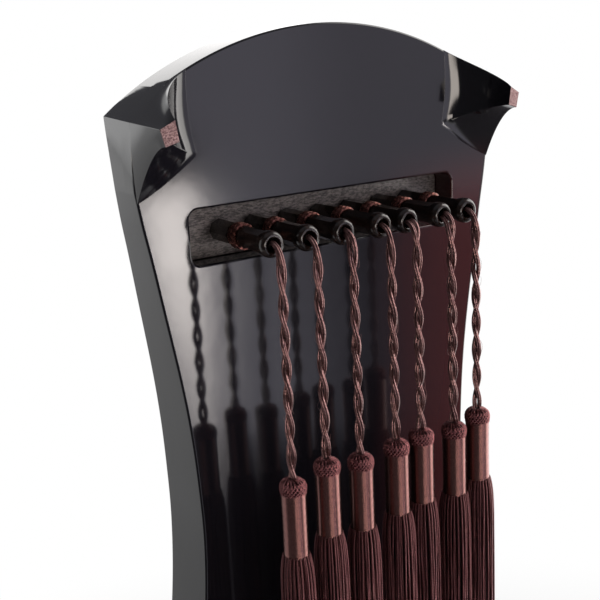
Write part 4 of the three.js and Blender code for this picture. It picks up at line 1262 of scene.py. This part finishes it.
def string_points(index):
    """From the knot over the nut, round the end of the tail and along the back to a foot."""
    clear = string_radius(index) + STRING_GAP
    start_x = peg_x(index)
    nut_x = start_x * NUT_SPACING / PEG_SPACING
    first = Vector((start_x, bridge_top(start_x) + KNOT_RISE, KNOT_MIDDLE))
    last = Vector((nut_x, nut_top(nut_x, NUT_MIDDLE) + clear, NUT_MIDDLE))
    points = [at(*first.lerp(last, i / 12)) for i in range(13)]
    rest_y = BACK_Y - REST_BELOW
    reach = NUT_CORNER + clear
    for quarter, middle_y in enumerate((nut_top(nut_x, NUT_END) - NUT_CORNER, rest_y + NUT_CORNER)):
        for i in range(7):
            angle = math.pi / 2 * (quarter + i / 6)
            points.append(at(nut_x, middle_y + reach * math.cos(angle),
                             NUT_END - NUT_CORNER + reach * math.sin(angle)))
    side = 1 if start_x >= 0 else -1
    wrap_x = side * (FOOT_X - WRAP_REACH)
    wrap_y = lerp(STRING_WRAPS_FROM, STRING_WRAPS_TO, (abs(nut_x) / NUT_SPACING + 1) / STRINGS * 2)
    points.append(at(nut_x, rest_y - clear, NUT_START))
    points.append(at(wrap_x, wrap_y, FEET_AT + 4))
    points.append(at(wrap_x + side * 0.8, wrap_y, FEET_AT - 2))
    return points


def string_knot(index):
    """Turns of the string round its loop, at the bridge."""
    radius = string_radius(index)
    x = peg_x(index)
    middle_y = bridge_top(x) + KNOT_RISE
    reach = KNOT_RADIUS + radius * 0.6
    line = []
    steps = 20
    for i in range(KNOT_TURNS * steps + 1):
        angle = 2 * math.pi * i / steps
        line.append(at(x + reach * math.cos(angle), middle_y + reach * math.sin(angle),
                       KNOT_START + 2.1 * radius * i / steps))
    return line


def make_strings():
    for index in range(STRINGS):
        number = index + 1
        frames = resampled(loop_points(index), LOOP_LAY["spacing"] * MM)
        fibres, cores = laid_strands(frames, random.Random(200 + index), **LOOP_LAY)
        loop = joined([fibres, cores], f"silk_loop_{number}_laid")
        radius = string_radius(index)
        line = strands("line", [string_points(index)], radius, 2)
        knot = strands("knot", [string_knot(index)], radius * 0.95, 2)
        string = joined([line, knot], f"string_{number}_silk")
        for piece, finish, slot, node in ((loop, CORD_SILK, "silk_thread", "silk_loop"),
                                          (string, STRING_SILK, "string_silk", "string")):
            smooth(piece, STRAND_ANGLE)
            settle(piece, piece.name, finish, slot, "root", f"{node}_{number}")


# Finishes
def lacquer_finish():
    """Black lacquer with painted light: red-brown laid into its colour towards one long edge, where the
    light falls.
    """
    finish = Finish("lacquer", ior=1.54)
    x, z = finish.axis("X"), finish.axis("Z")
    top, low, widest = 0.43, -0.82, 110
    places = [40, 70, 110, 160, 220, 280, 310, 325, 335, 345, 450, 600, 760, 820, 900, 1000]
    stops = [(((HEAD_Z - u) * MM - low) / (top - low), half_width(u) / widest) for u in reversed(places)]
    width = finish.ramp((z - low) / (top - low), stops) * (widest * MM)
    across_share = finish.size(x) / width
    cloud = finish.noise(finish.place((14, 14, 6)), 1.0, 3)
    # Painted light: the colour turns red-brown towards the +X edge, stopping short of the head end and of
    # the outline's rim
    painted_light_mask = finish.between(x / width * 1.15 + (cloud - 0.5) * 0.7, 0.15, 1.05)
    painted_light_mask = painted_light_mask * (1 - finish.between(z, 0.335, 0.372)) * (1 - finish.between(across_share, 0.975, 0.995))
    finish.feed("Base Color", finish.mix(painted_light_mask, (0.007, 0.0065, 0.009), (0.043, 0.0085, 0.0085)))
    finish.feed("Roughness", finish.noise(finish.place(), 30, 2) * 0.05 + 0.07)
    finish.bump(finish.noise(finish.place(), 60, 2), 0.00003)
    return finish.material


def wood_finish(name, dark, light, grain, roughness, relief=0.00005, coat=0.0):
    """Straight grain along one axis, with pores; grain gives the scale on each axis."""
    finish = Finish(name, coat_weight=coat, coat_roughness=0.15)
    bands = finish.noise(finish.place(grain), 1.0, 6, 0.65)
    pores = finish.noise(finish.place(tuple(2.6 * scale for scale in grain)), 1.0, 2, 0.5)
    finish.feed("Base Color", finish.mix(finish.between(bands, 0.35, 0.68), dark, light))
    finish.feed("Roughness", pores * 0.25 + (roughness - 0.1))
    finish.bump(bands * 0.6 + finish.between(pores, 0.3, 0.5) * 0.4, relief)
    return finish.material


def silk_finish(name, dark, light, metallic, roughness, relief, plies=None, dye_scale=900):
    """Silk with uneven dye. Plies, as turns and lengths, adds fine diagonal bands along each strand:
    painted shade in the twist's grooves and painted sheen on its crests.
    """
    finish = Finish(name, metallic=metallic, specular_ior_level=0.3)
    if plies:
        bands = finish.along_strand(*plies)
        dye = finish.noise(finish.place(), dye_scale, 2)
        # Painted shade and sheen: the twist bands swing the colour from dark to light, over the real uneven
        # dye
        tone = bands * 0.5 + dye * 0.7
        finish.bump(bands, relief)
    else:
        dye = finish.noise(finish.place(), dye_scale, 3)
        tone = finish.between(dye, 0.3, 0.7)
        finish.bump(dye, relief)
    finish.feed("Base Color", finish.mix(tone, dark, light))
    finish.feed("Roughness", dye * 0.2 + (roughness - 0.1))
    return finish.material


def shell_finish():
    finish = Finish("shell", roughness=0.2, coat_weight=0.6, coat_roughness=0.08)
    bands = finish.noise(finish.place((160, 160, 380)), 1.0, 3)
    finish.feed("Base Color", finish.ramp(bands, [
        (0.3, (0.62, 0.66, 0.62)), (0.45, (0.75, 0.62, 0.66)), (0.55, (0.55, 0.72, 0.7)),
        (0.7, (0.82, 0.8, 0.72))]))
    finish.bump(bands, 0.00003)
    return finish.material


LACQUER = lacquer_finish()
EBONY = wood_finish("ebony", dark=(0.008, 0.006, 0.006), light=(0.03, 0.02, 0.017),
                    grain=(60, 500, 60), roughness=0.3, coat=0.3)
PEG_WOOD = wood_finish("peg_wood", dark=(0.004, 0.0025, 0.002), light=(0.024, 0.013, 0.01),
                       grain=(700, 60, 700), roughness=0.13, relief=0.00001)
SLOT_WOOD = wood_finish("slot_wood", dark=(0.03, 0.025, 0.025), light=(0.21, 0.18, 0.175),
                        grain=(500, 2200, 1500), roughness=0.45)
BARE_WOOD = wood_finish("bare_wood", dark=(0.25, 0.15, 0.08), light=(0.5, 0.36, 0.2),
                        grain=(500, 500, 30), roughness=0.65)
BARE_TIP = wood_finish("bare_tip", dark=(0.10, 0.035, 0.04), light=(0.55, 0.36, 0.35),
                       grain=(1500, 1500, 1500), roughness=0.7)
# With plies, dark is the painted shade of the twist's grooves and light its painted sheen
CORD_SILK = silk_finish("silk_thread", dark=(0.06, 0.026, 0.025), light=(0.31, 0.168, 0.162),
                        metallic=0.8, roughness=0.3, relief=0.00003, plies=(3, 60))
# Painted shade: a darker copy of the cord silk, for the turns round the pegs' necks
WINDING_SILK_PAINTED_SHADE = silk_finish("winding_silk_painted_shade", dark=(0.02, 0.006, 0.005), light=(0.20, 0.08, 0.065),
                         metallic=0.9, roughness=0.26, relief=0.00004, plies=(1, 40))
TASSEL_SILK = silk_finish("tassel_silk", dark=(0.012, 0.003, 0.004), light=(0.25, 0.092, 0.096),
                          metallic=0.65, roughness=0.36, relief=0.0002, plies=(2, 190))
CAP_SILK = silk_finish("cap_silk", dark=(0.02, 0.005, 0.006), light=(0.42, 0.16, 0.165),
                       metallic=0.85, roughness=0.24, relief=0.00016, plies=(2, 12))
BOUND_SILK = silk_finish("bound_silk", dark=(0.155, 0.07, 0.064), light=(0.205, 0.1, 0.092),
                         metallic=0.95, roughness=0.24, relief=0.000005, dye_scale=5000)
# Painted shade: a dark copy of the tassel silk, for cores and inner strands that stand where shade falls
PAINTED_SHADE_SILK = silk_finish("tassel_painted_shade", dark=(0.012, 0.003, 0.004), light=(0.03, 0.008, 0.009),
                           metallic=0.0, roughness=0.8, relief=0.0001, dye_scale=1500)
STRING_SILK = silk_finish("string_silk", dark=(0.42, 0.36, 0.26), light=(0.72, 0.66, 0.5),
                          metallic=0.0, roughness=0.42, relief=0.00003, plies=(1, 700))
SHELL = shell_finish()


# Making the instrument
make_pendants()
make_bottom_board()
make_top_board()
make_slot_plate()
make_guard(1, "right")
make_guard(-1, "left")
make_pegs()
make_fittings()
make_tail_caps()
make_feet()
make_studs()
make_strings()


# Studio
FLOOR_Z, FLOOR_SIZE = -0.83, 8


def make_lamp(name, place, aim, size, watts, colour=(1, 1, 1)):
    """A square lamp that lights the object but isn't mirrored in it."""
    data = bpy.data.lights.new(name, "AREA")
    data.shape = "RECTANGLE"
    data.size = size
    data.size_y = size
    data.energy = watts
    data.color = colour
    lamp = bpy.data.objects.new(name, data)
    bpy.context.scene.collection.objects.link(lamp)
    away = (Vector(place) - Vector(aim)).normalized()
    lamp.rotation_euler = away.to_track_quat("Z", "Y").to_euler()
    lamp.location = place
    lamp.visible_glossy = False


def seen_as_background(nodes):
    """1 for rays that show the background: straight from the camera, mirrored or through glass."""
    kinds = [nodes.node("ShaderNodeLightPath", {}, {}, name)
             for name in ("Is Camera Ray", "Is Glossy Ray", "Is Transmission Ray")]
    return kinds[0] + kinds[1] + kinds[2] > 0.5


def make_world():
    """White behind the object. Around it, what it mirrors, laid one over another by direction."""
    world = bpy.data.worlds.new("studio")
    bpy.context.scene.world = world
    world.use_nodes = True
    nodes = Nodes(world.node_tree)
    here = nodes.node("ShaderNodeTexCoord", {}, {}, "Generated")
    x, y, z = (nodes.node("ShaderNodeSeparateXYZ", {}, {"Vector": here}, name) for name in "XYZ")
    degrees = 180 / math.pi
    around = nodes.node("ShaderNodeMath", {"operation": "ARCTAN2"}, {0: x, 1: y * -1}, "Value") * degrees
    height = nodes.node("ShaderNodeMath", {"operation": "ARCSINE"}, {0: z}, "Value") * degrees

    def rising(value, low, high):
        return nodes.between(value, low, high)

    def falling(value, low, high):
        return 1 - nodes.between(value, low, high)

    def window(value, low, high, soft):
        """1 between two values, with soft edges."""
        return rising(value, low - soft, low + soft) * falling(value, high - soft, high + soft)

    def patch(left, right, soft_sides, low, high, soft_ends):
        return window(around, left, right, soft_sides) * window(height, low, high, soft_ends)

    box_tone = nodes.mix(rising(around, 30, 36), (1.13, 1.09, 1.28), (0.74, 0.71, 0.83))
    behind_tone = nodes.ramp((height + 30) / 40, [
        (0.15, 0.5), (0.33, 0.7), (0.43, 0.92), (0.58, 1.15), (0.65, 2.2), (0.75, 2.4), (1.0, 1.8)])
    strip_tone = nodes.mix(rising(height, -24, -10), (5.8, 5.4, 5.3), (18.5, 17.2, 16.5))
    over_strip = rising(height - (around - 23.5) * 0.31, -9.3, -8.7)
    strip_sides = rising(around - (height * -0.14 + 22.6), -0.25, 0.15) * falling(around, 26.35, 26.95)
    layers = [
        ("soft box in front", patch(10, 48, 3, -40, 26, 3), box_tone),
        ("flag low at its right", patch(33.5, 49, 3, -40, -9.5, 1), (0.17, 0.155, 0.19)),
        ("dark ceiling", rising(height, 25, 30), (0.22, 0.22, 0.24)),
        ("wall behind", window(around, -176, -140, 4) * falling(height, 15, 25), behind_tone),
        ("bright band behind", rising(around, 141, 149) * window(height, 3, 27, 2), (2.3, 2.27, 2.25)),
        ("large flag at the left", patch(-105, 5, 4, -35, 50, 6), (0.06, 0.06, 0.065)),
        ("beige window", patch(-24, 9, 3, -9, 3, 2), (7.5, 6.8, 6.2)),
        ("warm window at the right", patch(52, 106, 4, -30, 50, 8), (4.6, 4.45, 4.3)),
        ("thin light line", rising(around, 26, 26.6) * falling(around, 27.0, 29.4)
         * window(height, -21, -9, 1), (2.5, 2.4, 2.6)),
        ("flag under the line", rising(around, 26.5, 27.1) * window(around, 10, 50, 2)
         * falling(height, -23, -20.5), (0.06, 0.06, 0.075)),
        ("dark floor", falling(height, -46, -34), (0.14, 0.13, 0.14)),
        ("flag over the strip", over_strip * window(around, 12, 26.9, 0.4)
         * falling(height, -6.5, -4.5), (0.16, 0.155, 0.18)),
        ("warm strip", strip_sides * rising(height, -25.5, -22.5) * (1 - over_strip), strip_tone)]
    light = (1, 1, 1)
    for label, mask, tone in layers:
        light = nodes.mix(mask, light, tone)
        light.socket.node.label = label

    background = world.node_tree.nodes["Background"]
    camera = nodes.node("ShaderNodeLightPath", {}, {}, "Is Camera Ray")
    strength = seen_as_background(nodes) * 0.3 + 0.7
    for socket, link in (("Color", nodes.mix(camera, light, (1, 1, 1))), ("Strength", strength)):
        world.node_tree.links.new(link.socket, background.inputs[socket])


def make_floor():
    """A plain floor that fades into the white background."""
    deselect()
    bpy.ops.mesh.primitive_plane_add(size=FLOOR_SIZE, location=(0, 0, FLOOR_Z))
    floor = bpy.context.object
    floor.name = "floor"
    finish = Finish("floor", base_color=(0.9, 0.9, 0.9, 1), roughness=0.9)
    x, y = finish.axis("X"), finish.axis("Y")
    away = finish.between((x * x + y * y) ** 0.5, 0.7, 1.9)
    glow = finish.node("ShaderNodeEmission", {}, {"Color": (1, 1, 1, 1), "Strength": 1.0}, "Emission")
    blend = finish.tree.nodes.new("ShaderNodeMixShader")
    output = finish.tree.nodes["Material Output"]
    for source, socket in (((away * seen_as_background(finish)).socket, blend.inputs[0]),
                           (finish.shader.outputs[0], blend.inputs[1]), (glow.socket, blend.inputs[2]),
                           (blend.outputs[0], output.inputs["Surface"])):
        finish.tree.links.new(source, socket)
    floor.data.materials.append(finish.material)
    floor.visible_glossy = False


make_world()
make_floor()
make_lamp("key_lamp", (1.1, -0.8, 0.9), (0, 0, 0.25), 0.8, 9, (1.0, 0.97, 0.93))
make_lamp("edge_lamp", (-1.4, 0.5, 0.6), (0, 0, 0.3), 0.8, 4)

bpy.context.scene.view_settings.view_transform = "Standard"
